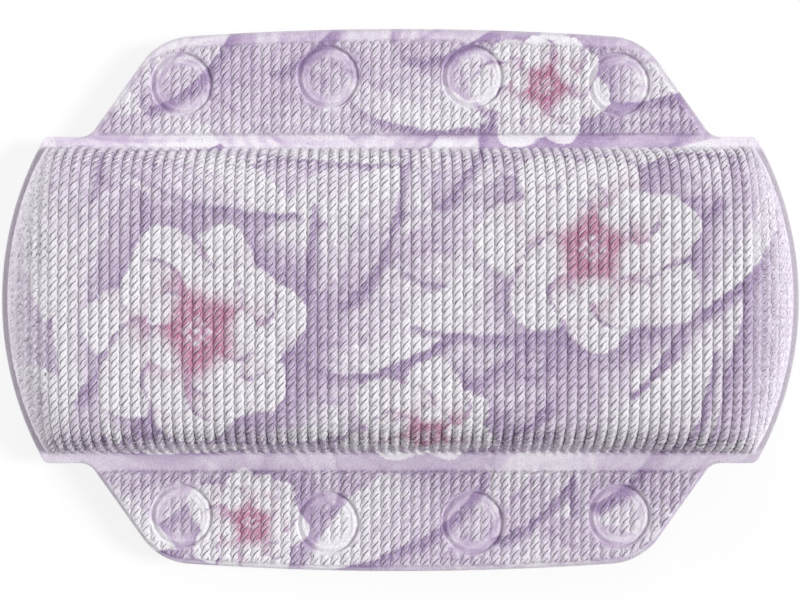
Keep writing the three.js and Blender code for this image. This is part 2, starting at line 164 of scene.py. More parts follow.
# Mesh steps and counts, with the least gaps to the crown's foot, as shares of a fan step and of a cell
FAN_STEP = 0.0009
FAN_GAP = 0.3
ROW_GAP = 0.1
MARGIN_STEPS = 9
UNDER_RIBS = 2
UNDER_CELLS = 2
BACK_STEP = 0.0024
FOAM_STEP = 0.006
CLOTH_STEP = 0.0045
OUTLINE_SPACING = 0.0008
END_POINTS = 120
PROFILE_POINTS = 4000
RING_SIDES = 96
CUP_SIDES = 72
TINY = 1e-6

# Levels that follow
RIM_LEVEL = SHEET_PLANE + WELDED_PLY
CROWN_RISE = CROWN_TOP - RIM_LEVEL
CROWN_HEIGHT = CROWN_TOP - SHEET_PLANE
FOOT_HALF_WIDTH = HALF_WIDTH - WELD_BAND
FOOT_HALF_LENGTH = HALF_LENGTH - END_RIM
CUP_HEIGHT = SHEET_PLANE - WELDED_PLY - BACK_BOTTOM


# Small helpers

def smoothstep(low, high, value):
    share = np.clip((value - low) / (high - low), 0, 1)
    return share * share * (3 - 2 * share)


def mirrored(half):
    """Steps from one side to the other, from the steps of one half that starts at 0."""
    return np.concatenate([-half[:0:-1], half])


def whole(value):
    """The whole number at or below a value, with a little slack for one that lies on it."""
    return np.floor(value + TINY)


def fraction(value):
    return value - whole(value)


NOISE_FACTORS = (12.9898, 78.233, 43758.5453)


def cell_noise(column, row):
    """A fixed number from 0 to 1 for each cell of a lattice."""
    across, up, scale = NOISE_FACTORS
    return np.modf(np.abs(np.sin(column * across + row * up) * scale))[0]


# Outline of the whole sheet: a quarter of it, from the middle of the right end to the middle of the top edge

def end_reach(y):
    """Half the pillow's length at a distance y from its centre line, with the ears' corners rounded off."""
    arc = HALF_LENGTH - END_RADIUS + np.sqrt(END_RADIUS ** 2 - y ** 2)
    past = np.maximum(0, np.abs(y) - (HALF_WIDTH - EAR_CORNER_RADIUS))
    return arc - EAR_CORNER_RADIUS + np.sqrt(np.maximum(0, EAR_CORNER_RADIUS ** 2 - past ** 2))


def arc_points(centre, radius, start, end):
    count = math.ceil(abs(end - start) * radius / OUTLINE_SPACING) + 1
    turn = np.linspace(start, end, count)
    return np.column_stack([centre[0] + radius * np.cos(turn), centre[1] + radius * np.sin(turn)])


def line_points(start, end):
    count = math.ceil(math.dist(start, end) / OUTLINE_SPACING) + 1
    return np.linspace(start, end, count)


along_side = np.array([-math.sin(FLAP_SIDE_LEAN), math.cos(FLAP_SIDE_LEAN)])
side_inward = np.array([-math.cos(FLAP_SIDE_LEAN), -math.sin(FLAP_SIDE_LEAN)])
side_root = np.array([FLAP_ROOT_HALF_WIDTH, HINGE_DISTANCE])
edge_centre = np.array([0, HINGE_DISTANCE + FLAP_LENGTH - FLAP_EDGE_RADIUS])


def inset_corner(inset):
    """The point that lies the same distance in from the upper flap's outer edge and its right-hand side."""
    start = side_root + side_inward * inset
    offset = start - edge_centre
    half = offset @ along_side
    rest = offset @ offset - (FLAP_EDGE_RADIUS - inset) ** 2
    return start + along_side * (math.sqrt(half ** 2 - rest) - half)


fillet_y = HALF_WIDTH + FLAP_ROOT_FILLET
fillet_out = FLAP_ROOT_FILLET - (fillet_y - HINGE_DISTANCE) * math.sin(FLAP_SIDE_LEAN)
fillet_centre = np.array([FLAP_ROOT_HALF_WIDTH + fillet_out / math.cos(FLAP_SIDE_LEAN), fillet_y])
FLAP_TIP = fillet_centre[0]
corner_centre = inset_corner(FLAP_CORNER_RADIUS)
corner_turn = math.atan2(*(corner_centre - edge_centre)[::-1])


def flap_edge_runs():
    """The right half of the upper flap's free edge, from the ear to the middle, in four runs."""
    fillet = arc_points(fillet_centre, FLAP_ROOT_FILLET, 1.5 * math.pi, math.pi + FLAP_SIDE_LEAN)
    corner = arc_points(corner_centre, FLAP_CORNER_RADIUS, FLAP_SIDE_LEAN, corner_turn)
    edge = arc_points(edge_centre, FLAP_EDGE_RADIUS, corner_turn, math.pi / 2)
    side = line_points(fillet[-1], corner[0])
    return fillet, side[1:-1], corner, edge[1:]


def flap_edge():
    return np.concatenate(flap_edge_runs())


def inward_of(edge):
    """Directions that point in from a line of points that runs counter-clockwise."""
    heading = np.gradient(edge, axis=0)
    inward = np.column_stack([-heading[:, 1], heading[:, 0]])
    return inward / np.linalg.norm(inward, axis=1, keepdims=True)


def pillow_edge():
    """The upper half of the pillow's right end, from its middle to the ear, and the ear's edge."""
    steps = np.linspace(0, 1, END_POINTS)
    y = HALF_WIDTH * (1 - (1 - steps) ** 2)
    end = np.column_stack([end_reach(y), y])
    return np.concatenate([end, line_points(end[-1], (FLAP_TIP, HALF_WIDTH))[1:]])


quarter_outline = np.concatenate([pillow_edge(), flap_edge()[1:]])


def outline_distance(x, y, chunk=4000):
    """How far points lie inside the sheet's outline."""
    points = np.column_stack([np.abs(x).ravel(), np.abs(y).ravel()])
    start = quarter_outline[:-1]
    step = quarter_outline[1:] - start
    length = np.maximum((step ** 2).sum(1), TINY ** 3)
    result = np.empty(len(points))
    for first in range(0, len(points), chunk):
        part = points[first:first + chunk, None, :] - start[None]
        share = np.clip((part * step[None]).sum(2) / length, 0, 1)
        gap = part - share[..., None] * step[None]
        result[first:first + chunk] = np.sqrt((gap ** 2).sum(2).min(1))
    return result.reshape(np.shape(x))


def edge_drop(distance):
    """How far a welded ply's rounded edge falls away, by the distance from the outline."""
    inner = np.clip(WELDED_PLY - distance, 0, WELDED_PLY)
    return EDGE_DROP * (WELDED_PLY - np.sqrt(WELDED_PLY ** 2 - inner ** 2))


# Emboss and print, as formulas over the flat sheet

def slit_lean(place):
    """How many cells a slit's line has climbed, from the middle of the rib, at a place across the rib."""
    ends = RIB_PLACES[[1, -1]]
    return np.interp(place, [0, *ends, 1], [0, *(SLIT_RISE * (ends - 0.5)), 0])


def lattice_lean(climb, along):
    """How far the lattice's points move up, in cells, so that its rows follow the slits."""
    cell = np.round(climb)
    near_slit = 1 - 2 * np.abs(climb - cell)
    jitter = SLIT_JITTER * (cell_noise(whole(along), cell) - 0.5)
    return slit_lean(fraction(along)) + jitter * near_slit


def emboss_height(along, climb):
    """Height of the emboss from 0 to 1: along counts ribs, and climb counts slits."""
    place = fraction(along)
    edge = math.sqrt(RIB_ROUNDNESS ** 2 - 1)
    crest = (np.sqrt(RIB_ROUNDNESS ** 2 - (2 * place - 1) ** 2) - edge) / (RIB_ROUNDNESS - edge)
    up = fraction(climb)
    belly = np.interp(up, [*CELL_PLACES, 1], [*CELL_HEIGHTS, CELL_HEIGHTS[0]])
    slit = np.interp(up, [0, CELL_PLACES[1], CELL_PLACES[-1], 1], [1, 0, 0, 1])
    slit = slit * np.interp(place, [*RIB_PLACES, 1], [*SLIT_SHARES, 0])
    uneven = SLIT_DEPTH_LEAST + SLIT_DEPTH_SPREAD * cell_noise(whole(along), np.round(climb) + 0.5)
    grain = EMBOSS_GRAIN * (cell_noise(GRAIN_DENSITY[0] * along, GRAIN_DENSITY[1] * climb) - 0.5)
    return np.clip(crest * belly - SLIT_DEPTH * uneven * slit + grain, 0, 1)


# Print: leafy stems, each as start, bend and end, over x and the distance across the flat sheet
STEMS = [
    ((-0.170, -0.078), (-0.030, -0.052), (0.080, 0.130)),
    ((0.172, 0.070), (0.050, 0.010), (0.020, -0.134)),
    ((-0.165, 0.122), (-0.095, 0.060), (-0.088, -0.010)),
    ((-0.135, 0.082), (-0.060, 0.118), (0.020, 0.116)),
    ((0.010, -0.122), (0.070, -0.100), (0.135, -0.084)),
]
LEAVES_PER_STEM = [13, 10, 7, 6, 6]
LEAF_LENGTH = 0.080
LEAF_HALF_WIDTH = 0.0150
LEAF_SPREAD = math.radians(44)
LEAF_CURL = 0.16
LEAF_FULLNESS = 0.8
LEAF_EDGE = 0.0012
LEAF_FOLD = 0.006
LEAF_RIBS = 8
LEAF_RIB_SLANT = 0.0065
VEIN_WIDTH = 0.0010
SHADOW_OFFSET = (0.003, -0.0035)
SHADOW_GROWTH = 0.003
SHADOW_EDGE = 0.008
BACKDROP_SPREAD = (-0.8, 0.9)
BACKDROP_SIZE = 1.35
BACKDROP_STRENGTH = 0.5

# Blossoms, each as place, size and turn, and the layers of their petals as count, length and half width
BLOSSOMS = [
    (-0.078, -0.012, 0.046, 1),
    (0.074, 0.020, 0.042, 2),
    (0.010, -0.056, 0.032, 5),
    (0.058, 0.104, 0.027, 4),
    (-0.060, -0.108, 0.025, 7),
]
PETAL_LAYERS = [(7, 1.0, 0.37), (7, 0.76, 0.38), (5, 0.50, 0.46)]
PETAL_BREADTH = (1.6, 0.6)
PETAL_STREAKS = 40
HEART = (0.17, 0.10)
HEART_DOTS = 60

# How the emboss shifts the print: within each rib, and from rib to rib
RIB_SQUEEZE = 0.75
PRINT_SLIP = 0.0012


def laid(under, over, share):
    """A field of the print with another laid over it by a share."""
    return under + (over - under) * share


def stem_point(stem, share):
    start, bend, end = (np.array(point) for point in stem)
    place = (1 - share) ** 2 * start + 2 * share * (1 - share) * bend + share ** 2 * end
    heading = 2 * (1 - share) * (bend - start) + 2 * share * (end - bend)
    return place, math.atan2(heading[1], heading[0])


def vary(first, second):
    return float(cell_noise(np.float64(first), np.float64(second)))


def leaf_places():
    """Every leaf of the print as its base, direction, size and side of the stem."""
    leaves = []
    for stem, count in zip(STEMS, LEAVES_PER_STEM):
        for k in range(count):
            place, heading = stem_point(stem, (k + 0.2) / count)
            side = 1 if k % 2 else -1
            turn = heading + side * LEAF_SPREAD * (0.75 + 0.5 * vary(k, count))
            leaves.append((place, turn, 0.78 + 0.4 * vary(k, count), side))
    return leaves


def leaf_mask(x, y, leaf, grow, soft):
    """Inside share of a leaf, with the place along it from 0 to 1 and the place across it."""
    base, heading, size, side = leaf
    east, north = math.cos(heading), math.sin(heading)
    length = LEAF_LENGTH * size
    along = ((x - base[0]) * east + (y - base[1]) * north) / length
    across = (y - base[1]) * east - (x - base[0]) * north
    across = across + side * LEAF_CURL * length * along ** 2
    share = np.clip(along, 0, 1)
    half = LEAF_HALF_WIDTH * size * np.sin(math.pi * share ** LEAF_FULLNESS) ** LEAF_FULLNESS + grow
    ends = smoothstep(-0.02, 0.02, along) * smoothstep(1.02, 0.98, along)
    return smoothstep(0, soft, half - np.abs(across)) * ends, share, across


def paint_leaf(fields, x, y, leaf, strength):
    """Lays a leaf with a soft shadow beside it over the fields pale, violet and rose."""
    pale, violet, rose = fields
    east, north = SHADOW_OFFSET
    shadow = strength * leaf_mask(x - east, y - north, leaf, SHADOW_GROWTH, SHADOW_EDGE)[0]
    violet = laid(violet, 0.95, shadow)
    pale = pale * (1 - 0.8 * shadow)
    inside, share, across = leaf_mask(x, y, leaf, 0, LEAF_EDGE)
    inside = inside * strength ** 0.5
    vein = np.exp(-(across / VEIN_WIDTH) ** 2) * (1 - share)
    ribs = 0.5 + 0.5 * np.sin(2 * math.pi * (share * LEAF_RIBS - np.abs(across) / LEAF_RIB_SLANT))
    half = smoothstep(-LEAF_FOLD, LEAF_FOLD, across * leaf[3])
    tone = 0.18 + 0.75 * share + 0.25 * half - 0.40 * vein - 0.30 * ribs * (1 - 0.6 * share)
    pale = laid(pale, tone, inside)
    violet = laid(violet, 0.42 * vein + 0.40 * (1 - share) * (1 - half), inside)
    return pale, violet, rose * (1 - inside)


def paint_blossom(fields, x, y, centre, size, turn):
    """Lays a blossom of broad petals in layers, rose in the middle and pale at the tips, over the fields."""
    pale, violet, rose = fields
    east, north = (x - centre[0]) / size, (y - centre[1]) / size
    shade = 0.8 * smoothstep(1.3, 0.8, np.hypot(east - 0.06, north + 0.08))
    violet = laid(violet, 0.8, shade)
    pale = pale * (1 - shade)
    for layer, (count, length, width) in enumerate(PETAL_LAYERS):
        for k in range(count):
            reach = length * (0.88 + 0.24 * vary(k + 10 * layer, turn))
            angle = turn + 2 * math.pi * (k + 0.5 * layer + 0.3 * vary(turn, k)) / count
            out = (east * math.cos(angle) + north * math.sin(angle)) / reach
            aside = (north * math.cos(angle) - east * math.sin(angle)) / reach
            share = np.clip(out, 0, 1)
            half = width * np.sin(math.pi * share ** PETAL_BREADTH[0]) ** PETAL_BREADTH[1]
            gap = np.abs(aside) / np.maximum(half, 1e-3)
            inside = smoothstep(1.0, 0.90, gap) * (out > 0) * (out < 1)
            outline = smoothstep(0.72, 0.98, gap)
            fold = smoothstep(0.05, -0.20, aside)
            streak = 0.5 + 0.5 * np.cos(PETAL_STREAKS * aside / (0.3 + share))
            base = smoothstep(0.85, 0.15, share)
            tone = 0.35 + 0.70 * smoothstep(0.2, 0.8, share) - 0.25 * streak * (1 - share) - 0.3 * fold
            pale = laid(pale, tone - 0.45 * outline, inside)
            violet = laid(violet, 0.75 * outline * (1 - base) + 0.40 * fold * share, inside)
            rose = laid(rose, (0.45 + 0.25 * layer) * base + 0.1 * fold, inside)
    heart = smoothstep(*HEART, np.hypot(east, north))
    dots = 0.5 + 0.5 * np.sin(HEART_DOTS * east + 2) * np.sin(HEART_DOTS * north + turn)
    pale = laid(pale, 0.7 * dots, heart)
    violet = laid(violet, 0.5 * (1 - dots), heart)
    return pale, violet, laid(rose, 0.9 * (1 - dots), heart)


def print_fields(x, y):
    """How pale, how violet and how rose the print is, over x and the distance across the flat sheet."""
    pale = 0.22 + 0.20 * np.sin(31 * x + 22 * y) * np.sin(27 * y - 19 * x + 1)
    violet = 0.36 + 0.28 * np.sin(38 * x - 17 * y + 2) * np.sin(33 * y + 11 * x)
    fields = (pale, violet, np.zeros_like(x))
    for (east, north), turn, size, side in leaf_places():
        base = (BACKDROP_SPREAD[0] * east, BACKDROP_SPREAD[1] * north)
        backdrop = (base, math.pi - turn, BACKDROP_SIZE * size, -side)
        fields = paint_leaf(fields, x, y, backdrop, BACKDROP_STRENGTH)
    for leaf in leaf_places():
        fields = paint_leaf(fields, x, y, leaf, 1)
    for east, north, size, turn in BLOSSOMS:
        fields = paint_blossom(fields, x, y, (east, north), size, turn)
    return [np.clip(field, 0, 1) for field in fields]


def pressed_print(x, y, mask):
    """The print as the emboss leaves it: squeezed within each rib, and slipped a little from rib to rib."""
    rib = whole(x / RIB_PITCH)
    middle = (rib + 0.5) * RIB_PITCH
    shift = mask * (1 - RIB_SQUEEZE) * (middle - x)
    return print_fields(x + shift, y + mask * PRINT_SLIP * (cell_noise(rib, 7) - 0.5))


# Mesh helpers

def new_piece(name, points, faces, material):
    mesh = bpy.data.meshes.new(name)
    mesh.from_pydata(points, [], faces)
    mesh.validate()
    mesh.shade_smooth()
    mesh.materials.append(material)
    piece = bpy.data.objects.new(name, mesh)
    bpy.context.scene.collection.objects.link(piece)
    return piece


def set_values(piece, name, values):
    """A number at every point of a piece, which its material reads by name: 0 at its last, hidden points."""
    attribute = piece.data.attributes.new(name, "FLOAT", "POINT")
    padded = np.zeros(len(attribute.data), np.float32)
    padded[:len(values)] = values
    attribute.data.foreach_set("value", padded)


def set_uv(piece, name, uv, wall_uv=None, upper_count=0):
    """A UV map by point. Faces that join upper and lower points take wall_uv, so that they cover no area."""
    mesh = piece.data
    corner = np.empty(len(mesh.loops), np.int32)
    mesh.loops.foreach_get("vertex_index", corner)
    result = uv[corner]
    if wall_uv is not None:
        size = np.empty(len(mesh.polygons), np.int32)
        mesh.polygons.foreach_get("loop_total", size)
        starts = np.concatenate([[0], np.cumsum(size)[:-1]])
        upper = np.add.reduceat((corner < upper_count).astype(np.int32), starts)
        wall = np.repeat((upper > 0) & (upper < size), size)
        result[wall] = wall_uv[corner[wall]]
    layer = mesh.uv_layers.new(name=name)
    layer.data.foreach_set("uv", np.ascontiguousarray(result, np.float32).ravel())


def sharpen(piece, border, along=None, climb=None):
    """Keeps the edges between border points crisp, and those along the emboss's grooves and slits. The last
    points, on the hidden side, have no emboss."""
    mesh = piece.data
    on_border = np.zeros(len(mesh.vertices), bool)
    on_border[border] = True
    ends = np.empty(2 * len(mesh.edges), np.int32)
    mesh.edges.foreach_get("vertices", ends)
    a, b = ends.reshape(-1, 2).T
    crisp = on_border[a] & on_border[b]
    if along is not None:
        hidden = np.full(len(mesh.vertices) - along.size, np.nan)
        along = np.append(along, hidden)
        climb = np.append(climb, hidden)
        rib = whole(along)
        up = fraction(climb)
        on_groove = along - rib < ON_LINE
        on_slit = ((up < ON_LINE) | (np.abs(up - CELL_PLACES[-1]) < ON_LINE)) & ~on_groove
        same_rib = rib[a] == rib[b]
        crisp |= on_groove[a] & on_groove[b] & same_rib
        crisp |= on_slit[a] & on_slit[b] & same_rib & (np.abs(climb[a] - climb[b]) < ON_LINE)
    attribute = mesh.attributes.get("sharp_edge") or mesh.attributes.new("sharp_edge", "BOOLEAN", "EDGE")
    attribute.data.foreach_set("value", crisp)


def grid_triangles(points):
    """Two triangles for every cell of a grid, split along its shorter diagonal."""
    rows, columns = points.shape[:2]
    index = np.arange(rows * columns).reshape(rows, columns)
    a, b = index[:-1, :-1].ravel(), index[:-1, 1:].ravel()
    c, d = index[1:, 1:].ravel(), index[1:, :-1].ravel()
    flat = points.reshape(-1, 3)
    rising = np.linalg.norm(flat[a] - flat[c], axis=1) <= np.linalg.norm(flat[b] - flat[d], axis=1)
    first = np.where(rising[:, None], np.column_stack([a, b, c]), np.column_stack([a, b, d]))
    second = np.where(rising[:, None], np.column_stack([a, c, d]), np.column_stack([b, c, d]))
    return np.concatenate([first, second])


def border_loop(rows, columns):
    """Grid places round the border, counter-clockwise."""
    south = [(0, i) for i in range(columns - 1)]
    east = [(j, columns - 1) for j in range(rows - 1)]
    north = [(rows - 1, i) for i in range(columns - 1, 0, -1)]
    west = [(j, 0) for j in range(rows - 1, 0, -1)]
    return south + east + north + west


def grid_normals(points):
    along = np.gradient(points, axis=1)
    across = np.gradient(points, axis=0)
    normal = np.cross(along, across)
    return normal / np.maximum(np.linalg.norm(normal, axis=2, keepdims=True), TINY ** 2)


def softened(points, times, share=1):
    """The grid with its creases eased by a share, and its border kept."""
    for _ in range(times):
        eased = points.copy()
        eased[1:-1] = 0.25 * points[:-2] + 0.5 * points[1:-1] + 0.25 * points[2:]
        inner = eased[:, 1:-1].copy()
        eased[:, 1:-1] = 0.25 * eased[:, :-2] + 0.5 * inner + 0.25 * eased[:, 2:]
        points = points + share * (eased - points)
    return points


def closed_grid(upper, lower):
    """Points and faces of the closed body between two grids."""
    rows, columns = upper.shape[:2]
    top = grid_triangles(upper)
    count = rows * columns
    loop = np.array([j * columns + i for j, i in border_loop(rows, columns)])
    ahead = np.roll(loop, -1)
    wall = np.column_stack([ahead, loop, loop + count, ahead + count])
    faces = top.tolist() + (top[:, ::-1] + count).tolist() + wall.tolist()
    points = np.concatenate([upper.reshape(-1, 3), lower.reshape(-1, 3)])
    return points, faces, np.concatenate([loop, loop + count])


# Pillow grids

def half_profile(fullness, half, rise):
    """Arc length against place along half a crown profile, from its middle to its foot."""
    share = 1 - (1 - np.linspace(0, 1, PROFILE_POINTS)) ** 3
    height = rise * (1 - share ** fullness) ** EDGE_ROUNDNESS
    place = share * half
    arc = np.concatenate([[0], np.cumsum(np.hypot(np.diff(place), np.diff(height)))])
    return arc, place


side_arc, side_place = half_profile(SIDE_FULLNESS, FOOT_HALF_WIDTH, CROWN_RISE)
side_drawn = side_arc - FLANK_STRETCH * (side_arc - side_place)
end_arc, end_place = half_profile(END_FULLNESS, FOOT_HALF_LENGTH, CROWN_RISE)
sheet_half_width = side_arc[-1] + WELD_BAND
margin_steps = 1 - (1 - np.arange(1, MARGIN_STEPS + 1) / MARGIN_STEPS) ** 2


class PillowGrid:
    """Places of a grid over the pillow. Its rows count distance across the sheet as it was before it was
    stretched over the flanks. Its columns are straight in the middle and follow the end arcs beside it."""

    def __init__(self, straight, fan_step, rows, lean=None):
        self.straight = straight
        foot = side_drawn[-1]
        band = foot + WELD_BAND * np.append(0, margin_steps)
        inner = rows[np.abs(rows) < foot - ROW_GAP * CELL_PITCH]
        self.rows = np.concatenate([-band[::-1], inner, band])
        fan = np.arange(straight[-1] + fan_step, end_arc[-1] - FAN_GAP * fan_step, fan_step)
        foot_u = end_arc[-1]
        self.u = mirrored(np.concatenate([straight, fan, [foot_u], foot_u + END_RIM * margin_steps]))
        self.middle = len(self.u) // 2
        self.middle_row = int(np.argmin(np.abs(self.rows)))
        self.foot_rows = (MARGIN_STEPS, len(self.rows) - 1 - MARGIN_STEPS)
        self.foot_columns = (MARGIN_STEPS, len(self.u) - 1 - MARGIN_STEPS)

        self.drawn = np.repeat(self.rows[:, None], len(self.u), axis=1)
        if lean is not None:
            reach = len(straight) - 1
            self.drawn[:, self.middle - reach:self.middle + reach + 1] += lean(self.rows, mirrored(straight))
        size = np.minimum(np.abs(self.drawn), foot)
        past = np.abs(self.drawn) - size
        self.y = np.sign(self.drawn) * (np.interp(size, side_drawn, side_place) + past)
        self.v = np.sign(self.drawn) * (np.interp(size, side_drawn, side_arc) + past)

        self.foot = end_reach(self.y) - END_RIM
        flat_x = np.interp(np.abs(self.u), end_arc, end_place)
        rim = np.maximum(0, np.abs(self.u) - foot_u)
        edge = np.interp(straight[-1], end_arc, end_place)
        stretch = (self.foot - edge) / (FOOT_HALF_LENGTH - edge)
        self.x = np.sign(self.u) * (np.minimum(flat_x, edge) + np.maximum(0, flat_x - edge) * stretch + rim)

    def shares(self):
        """Places on the crown from -1 to 1, along and across, and 1 or -1 past its foot."""
        return np.clip(self.x / self.foot, -1, 1), np.clip(self.y / FOOT_HALF_WIDTH, -1, 1)

    def swell(self):
        s, t = self.shares()
        return ((1 - np.abs(t) ** SIDE_FULLNESS) * (1 - np.abs(s) ** END_FULLNESS)) ** EDGE_ROUNDNESS

    def layer(self, inset, level, height, form):
        """A layer that is drawn in from the foot of the crown and rises from its level by its height."""
        s, t = self.shares()
        inside = (np.abs(t) < 1) & (np.abs(s) < 1)
        x = np.where(inside, s * (self.foot - inset), self.x)
        y = np.where(inside, t * (FOOT_HALF_WIDTH - inset), self.y)
        return np.stack([x, y, level + height * form], axis=2)


def even_grid(step):
    """A grid over the pillow with even steps."""
    straight = np.arange(0, STRAIGHT_RIBS * RIB_PITCH, step)
    return PillowGrid(straight, step, mirrored(np.arange(0, side_drawn[-1], step)))


def lattice_steps(places, first, last):
    """Places that repeat at every step of 1, from the first step up to the last."""
    return (np.arange(first, last)[:, None] + places).ravel()


def rib_grid():
    """The front cover's grid, whose points lie where the emboss bends."""
    straight = np.append(lattice_steps(RIB_PLACES, 0, STRAIGHT_RIBS), STRAIGHT_RIBS) * RIB_PITCH
    cells = math.ceil(side_drawn[-1] / CELL_PITCH)
    rows = lattice_steps(CELL_PLACES, -cells, cells) * CELL_PITCH

    def lean(rows, columns):
        fade = smoothstep(0, CELL_PITCH, side_drawn[-1] - np.abs(rows))[:, None]
        return CELL_PITCH * fade * lattice_lean(rows[:, None] / CELL_PITCH, columns[None] / RIB_PITCH)

    return PillowGrid(straight, FAN_STEP, rows, lean)


def flat_swell(swell):
    """The swell of the back, which is flat over nearly all of its middle."""
    return np.minimum(1, BACK_FLATNESS * swell)


# Cloth simulation of the crown: the sheet is a little slack between its welds, and the filling presses it out

CLOTH_FRAMES = 20
CLOTH_SETTINGS = {
    "vertex_group_mass": "welded",
    "quality": 6,
    "mass": 0.4,
    "tension_stiffness": 40,
    "compression_stiffness": 40,
    "bending_stiffness": 6,
    "use_pressure": True,
    "uniform_pressure_force": 1,
    "shrink_min": -0.004,
}
CLOTH_MOVE_LIMIT = 0.0014
CLOTH_END_SHARE = 0.2
CORE_GIVE = 0.0002


def spline_shares(share):
    """How much each of four lines in a row counts at a place between the middle two."""
    return [(1 - share) ** 3 / 6, (3 * share ** 3 - 6 * share ** 2 + 4) / 6,
            (-3 * share ** 3 + 3 * share ** 2 + 3 * share + 1) / 6, share ** 3 / 6]


def spread(values, rows, columns, row_places, column_places):
    """Values at a grid's lines, spread smoothly over places between them."""
    row_place = np.interp(row_places, rows, np.arange(len(rows)))
    column_place = np.interp(column_places, columns, np.arange(len(columns)))
    j = np.minimum(np.floor(row_place).astype(int), len(rows) - 2)
    i = np.minimum(np.floor(column_place).astype(int), len(columns) - 2)
    result = 0
    for n, row_share in enumerate(spline_shares(row_place - j)):
        for m, column_share in enumerate(spline_shares(column_place - i)):
            line = np.clip(j + n - 1, 0, len(rows) - 1)
            place = np.clip(i + m - 1, 0, len(columns) - 1)
            result = result + (row_share * column_share)[..., None] * values[line, place]
    return result


def settled_cloth(start, free):
    """Where the points of a sheet come to rest when it is blown out, with all but the free ones welded."""
    scene = bpy.context.scene
    mesh = bpy.data.meshes.new("cloth_trial")
    mesh.from_pydata(start.reshape(-1, 3), [], grid_triangles(start).tolist())
    trial = bpy.data.objects.new("cloth_trial", mesh)
    scene.collection.objects.link(trial)
    trial.vertex_groups.new(name="welded").add(np.flatnonzero(~free.ravel()).tolist(), 1.0, "REPLACE")
    cloth = trial.modifiers.new("cloth", "CLOTH").settings
    for name, value in CLOTH_SETTINGS.items():
        setattr(cloth, name, value)
    cloth.effector_weights.gravity = 0
    for step in range(1, CLOTH_FRAMES + 1):
        scene.frame_set(step)
    settled = trial.evaluated_get(bpy.context.evaluated_depsgraph_get()).data
    moved = np.empty(3 * len(settled.vertices))
    settled.vertices.foreach_get("co", moved)
    scene.frame_set(1)
    bpy.data.objects.remove(trial)
    return moved.reshape(start.shape)


def cloth_moves(plan):
    """How far the points of a grid move when the sheet is blown out between its welds."""
    trial_plan = even_grid(CLOTH_STEP)
    start = trial_plan.layer(0, RIM_LEVEL, CROWN_RISE, trial_plan.swell())
    free = np.zeros(start.shape[:2], bool)
    rows, columns = trial_plan.foot_rows, trial_plan.foot_columns
    free[rows[0] + 1:rows[1], columns[0] + 1:columns[1]] = True
    move = settled_cloth(start, free) - start
    middle = move[trial_plan.middle_row, trial_plan.middle, 2]
    move[..., 2] = np.maximum(move[..., 2] - middle * trial_plan.swell(), -CORE_GIVE)
    move[..., 0] *= CLOTH_END_SHARE
    size = np.linalg.norm(move, axis=2, keepdims=True)
    move *= np.minimum(1, CLOTH_MOVE_LIMIT / np.maximum(size, TINY))
    columns = np.broadcast_to(plan.u, plan.drawn.shape)
    return spread(move, trial_plan.rows, trial_plan.u, plan.drawn, columns)


# Front cover

FOOT_EASING = (2.5 * CELL_PITCH, CELL_PITCH)
FOOT_EASING_TIMES = 3

# Baked map of the cover, in which its inner side takes part of a strip below its front
COVER_STRIP = 0.03
STRIP_MIDDLE = (0.5, 0.01)
STRIP_HALF_SIZE = (0.49, 0.009)


def front_surface(plan):
    """The cover's smooth outer surface, before its emboss, with the crease at the foot of the crown eased."""
    surface = plan.layer(0, RIM_LEVEL, CROWN_RISE, plan.swell())
    from_side = np.abs(np.abs(plan.rows) - side_drawn[-1])
    from_end = np.abs(np.abs(plan.u) - end_arc[-1])
    share = smoothstep(*FOOT_EASING, np.minimum(from_side[:, None], from_end[None]))
    return softened(surface, FOOT_EASING_TIMES, share[..., None])


def rib_counts(plan, surface):
    """How many ribs from the middle each point lies. Down the ends the sheet and its ribs are stretched."""
    apart = np.diff(surface, axis=1)
    steps = np.linalg.norm(apart * (1, 1, 1 - END_STRETCH), axis=2)
    last = len(plan.straight) - 1
    start = np.full((len(surface), 1), plan.straight[last])
    right = np.cumsum(np.hstack([start, steps[:, plan.middle + last:]]), axis=1)
    left = np.cumsum(np.hstack([start, steps[:, plan.middle - last - 1::-1]]), axis=1)
    inner = np.broadcast_to(mirrored(plan.straight), (len(surface), 2 * last + 1))
    return np.hstack([-left[:, :0:-1], inner, right[:, 1:]]) / RIB_PITCH


def pressed_cover(plan, smooth, along, climb):
    """The cover's embossed surface, how far it is embossed, and how strongly shade is painted into its
    creases.
    """
    from_end = RIB_PITCH * (np.abs(along[:, plan.foot_columns[1]])[:, None] - np.abs(along))
    from_band = side_drawn[-1] - np.abs(plan.drawn)
    mask = smoothstep(*END_FADE, from_end) * smoothstep(*BAND_FADE, from_band)
    normals = grid_normals(smooth)
    past_straight = smoothstep(STRAIGHT_RIBS, STRAIGHT_RIBS + 1, np.abs(along))
    flank = smoothstep(*FLANK_SLOPE, np.abs(normals[..., 1]))

    def added(on_upper, on_lower, on_ends):
        on_flank = np.where(normals[..., 1] > 0, on_upper, on_lower) * flank
        return mask * (1 + np.maximum(on_flank, on_ends * past_straight))

    depth = EMBOSS_DEPTH * added(*EXTRA_DEPTH) * (1 - emboss_height(along, climb))
    surface = smooth - normals * depth[..., None]
    surface[..., 0] += SCALLOP * mask * np.sin(2 * math.pi * plan.drawn / CELL_PITCH)
    return surface, mask, added(*EXTRA_CREASE_SHADE)


def paleness_and_band_light(plan):
    """How pale the sheet is: at the ends and on the ears, and along the lower weld band, where it is partly a
    paler print and partly painted light against the shade below the crown.
    """
    past_foot = np.abs(plan.drawn) > side_drawn[-1]
    ears = smoothstep(FLAP_TIP - EAR_PALE_WIDTH, FLAP_TIP, np.abs(plan.x)) * past_foot
    # Painted light along the lower weld band, which lies in shade below the crown, with a paler print there
    lower_band_light = LOWER_BAND_PAINTED_LIGHT * past_foot * (plan.y < 0)
    ends = smoothstep(*END_PALE, np.abs(plan.shares()[0]))
    return np.maximum(ends, np.maximum(EAR_PALENESS * ears, lower_band_light))


